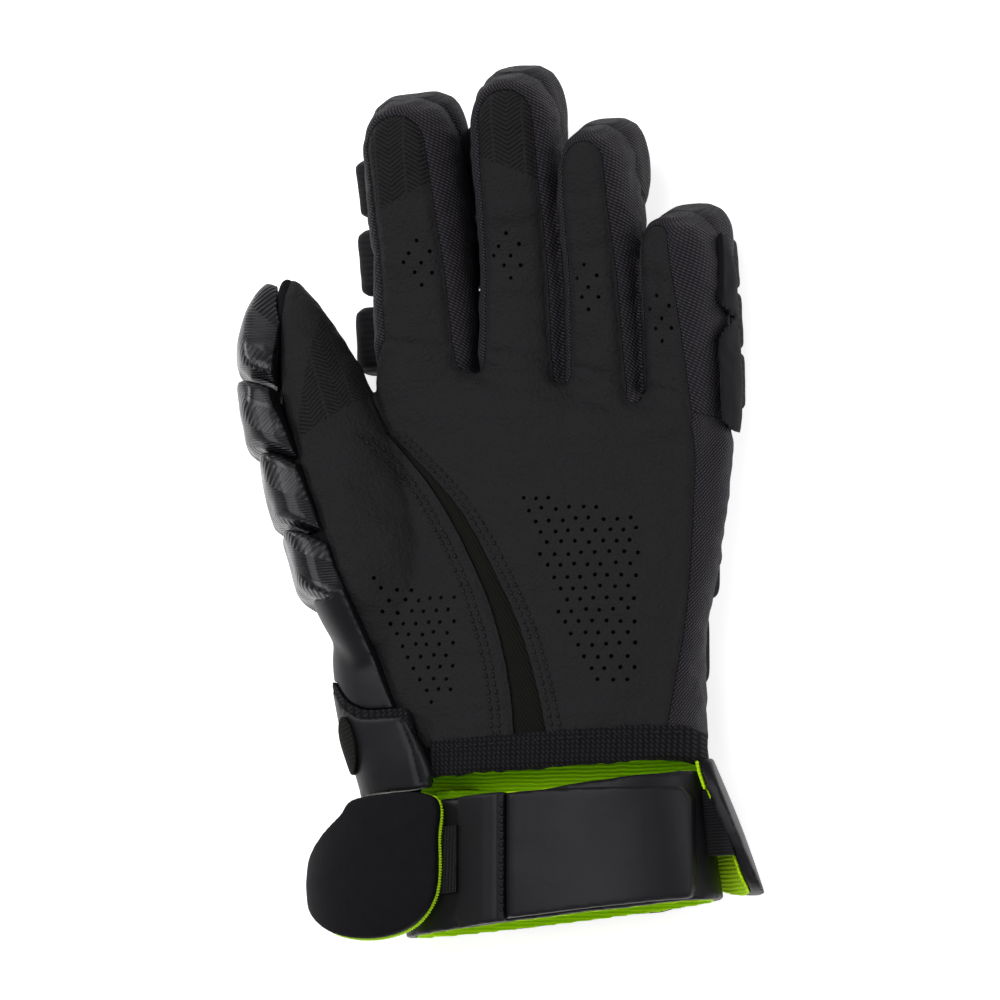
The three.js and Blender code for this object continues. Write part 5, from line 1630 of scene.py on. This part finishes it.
def stitches(name, paths, target, pitch=3.1, length=2.3, radius=0.28, material="thread", lift=0.08):
    """Stitches along paths in the plan, laid on the piece that they are sewn through."""
    tree = BVHTree.FromObject(target, bpy.context.evaluated_depsgraph_get())
    places = []
    for path in paths:
        path = np.array(path, float)
        run = np.concatenate([[0], np.cumsum(np.linalg.norm(np.diff(path, axis=0), axis=1))])
        for s in np.arange(0, run[-1], pitch):
            start = Vector((np.interp(s, run, path[:, 0]), np.interp(s, run, path[:, 1]), 200))
            soon = s + 0.5
            ahead = Vector((np.interp(soon, run, path[:, 0]), np.interp(soon, run, path[:, 1]), 200)) - start
            hit, normal, *_ = tree.ray_cast((start + SHIFT) * MM, Vector((0, 0, -1)))
            if hit and ahead.length:
                ahead = (ahead - normal * ahead.dot(normal)).normalized()
                turn = Matrix((ahead, normal.cross(ahead), normal)).transposed().to_4x4()
                places.append(Matrix.Translation(hit / MM - SHIFT + normal * lift) @ turn)
    bpy.ops.mesh.primitive_uv_sphere_add(segments=8, ring_count=5)
    bead = alone(bpy.context.object)
    set_points(bead, points_of(bead) * (length / 2, radius * 1.25, radius))
    return finish(repeated(bead, places, name), name, finish_of(material), angle=80)


class GLOVE_OT_stitches(bpy.types.Operator):
    """The seams' stitches: beside the gusset, on hem, strap and wrap, and round the large ear"""

    bl_idname = "glove.stitches"
    bl_label = "Stitches"

    def execute(self, context):
        w, l = hand().palm_width, hand().palm_length
        c = cuff()
        find = bpy.data.objects
        palm_rows, thumb_rows = stitch_rows(PALM_EDGE_COLUMN), stitch_rows(THUMB_EDGE_COLUMN)
        stitches("palm_gusset_stitches", palm_rows, find["palm_leather"], radius=0.5, lift=0.2)
        stitches("thumb_gusset_stitches", thumb_rows, find["thumb_leather"], radius=0.5, lift=0.2)
        hem = [(x * w, HEM_TOP - 0.6 + HEM_SLANT * x * w) for x in np.linspace(-0.25, 0.4, 30)]
        stitches("hem_stitches", [hem], find["hem_knit_binding"], pitch=3.4, radius=0.34)
        outline = ear_outline()
        outline += (outline.mean(0) - outline) * 0.022
        rim = [p for p in outline if p[1] < -9 and (p[0] > -45 or (p[1] < -49 and p[0] > -82))]
        stitches("ear_lime_overlock", [rim], find["thumb_ear_lime_lining"], 1.0, 1.3, 1.1, "lime thread")
        stitches("strap_stitches", [np.array(STRAP_SEAM) * (w, l)], find["thumb_strap_cover"], 2.6, 2.0)
        down = [(TAB_STITCHES, -c.gap - c.wrap_length * s) for s in np.linspace(0.03, 0.97, 12)]
        stitches("tab_seam_stitches", [down], find["wrap_pad_cover"], pitch=2.9, radius=0.6, lift=0.25)
        return {"FINISHED"}


# Camera, lights and floor
# name, place in metres, size in metres, power in watts
LIGHTS = [
    ("top light", (-0.15, 0.35, 1.6), 1.0, 14),
    ("left light", (-1.2, 0.5, 0.8), 0.35, 6),
    ("right light", (1.25, 0.1, 0.8), 0.4, 4),
    ("low light", (0.3, -1.2, 0.9), 0.6, 3.5),
]
# Where the camera looks, how far it is from there, how wide its view is, and the width of its film
TARGET, DISTANCE, VIEW_WIDTH, FILM = (1.65, -1.22, 34), 1500, 377, 36
# Degrees over from the little finger's side and from the wrist's side
CAMERA_SIDE, CAMERA_LOW = 20, 8


class GLOVE_OT_stage(bpy.types.Operator):
    """A pale floor, soft studio lights and the camera"""

    bl_idname = "glove.stage"
    bl_label = "Stage"

    def execute(self, context):
        scene = context.scene
        bpy.ops.mesh.primitive_plane_add(size=6)
        floor = alone(context.object)
        floor.name = "floor"
        floor.data.materials.append(self.white_paper())
        world = scene.world or bpy.data.worlds.new("World")
        scene.world = world
        world.use_nodes = True
        world.node_tree.nodes["Background"].inputs[0].default_value = (1, 0.98, 1, 1)
        world.node_tree.nodes["Background"].inputs[1].default_value = 0.18
        scene.view_settings.view_transform = "Standard"
        for name, place, size, power in LIGHTS:
            bpy.ops.object.light_add(type="AREA", location=place)
            light = context.object
            light.name = name
            light.data.shape = "SQUARE"
            light.data.size = size
            light.data.energy = power
            light.data.color = (1, 0.97, 1)
            light.rotation_euler = (Vector((0, 0, 0.03)) - Vector(place)).to_track_quat("-Z", "Y").to_euler()
        data = bpy.data.cameras.new("camera")
        camera = bpy.data.objects.new("camera", data)
        scene.collection.objects.link(camera)
        over, low = math.tan(math.radians(CAMERA_SIDE)), math.tan(math.radians(CAMERA_LOW))
        away = Vector((over, -low, 1)).normalized()
        right = Vector((0, 1, 0)).cross(away).normalized()
        camera.matrix_world = Matrix((right, away.cross(right), away)).transposed().to_4x4()
        camera.location = Vector(TARGET) * MM + away * DISTANCE * MM
        data.lens = FILM * DISTANCE / VIEW_WIDTH
        scene.camera = camera
        return {"FINISHED"}

    def white_paper(self):
        """Studio paper, lit so that it shows as white as the photo's background."""
        material = bpy.data.materials.new("studio floor")
        material.use_nodes = True
        shader = material.node_tree.nodes["Principled BSDF"]
        shader.inputs["Base Color"].default_value = linear("F6F6F6")
        shader.inputs["Roughness"].default_value = 0.9
        shader.inputs["Emission Color"].default_value = (1, 1, 1, 1)
        shader.inputs["Emission Strength"].default_value = 0.72
        return material


class GLOVE_PT_panel(bpy.types.Panel):
    """Sizes, colours and the pieces of the glove"""

    bl_label = "Lacrosse glove"
    bl_idname = "GLOVE_PT_panel"
    bl_space_type = "VIEW_3D"
    bl_region_type = "UI"
    bl_category = "Glove"

    def draw(self, context):
        for group in (context.scene.glove_hand, context.scene.glove_cuff, context.scene.glove_colours):
            for key in group.bl_rna.properties.keys():
                if key not in ("rna_type", "name"):
                    self.layout.prop(group, key)
        for operator in OPERATORS:
            self.layout.operator(operator.bl_idname)


OPERATORS = (
    GLOVE_OT_stage,
    GLOVE_OT_hand,
    GLOVE_OT_finger_rolls,
    GLOVE_OT_thumb_rolls,
    GLOVE_OT_back_pads,
    GLOVE_OT_hem,
    GLOVE_OT_strap,
    GLOVE_OT_wrap,
    GLOVE_OT_ears,
    GLOVE_OT_stitches,
)
GROUPS = {"glove_hand": GloveHand, "glove_cuff": GloveCuff, "glove_colours": GloveColours}


def register():
    for made in (*GROUPS.values(), *OPERATORS, GLOVE_PT_panel):
        bpy.utils.register_class(made)
    for key, group in GROUPS.items():
        setattr(bpy.types.Scene, key, PointerProperty(type=group))


def unregister():
    for key in GROUPS:
        delattr(bpy.types.Scene, key)
    for made in (GLOVE_PT_panel, *OPERATORS[::-1], *list(GROUPS.values())[::-1]):
        bpy.utils.unregister_class(made)


def main():
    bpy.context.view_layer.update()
    register()
    bpy.ops.object.select_all(action="DESELECT")
    for operator in OPERATORS:
        group, name = operator.bl_idname.split(".")
        getattr(getattr(bpy.ops, group), name)()


if __name__ == "__main__":
    main()
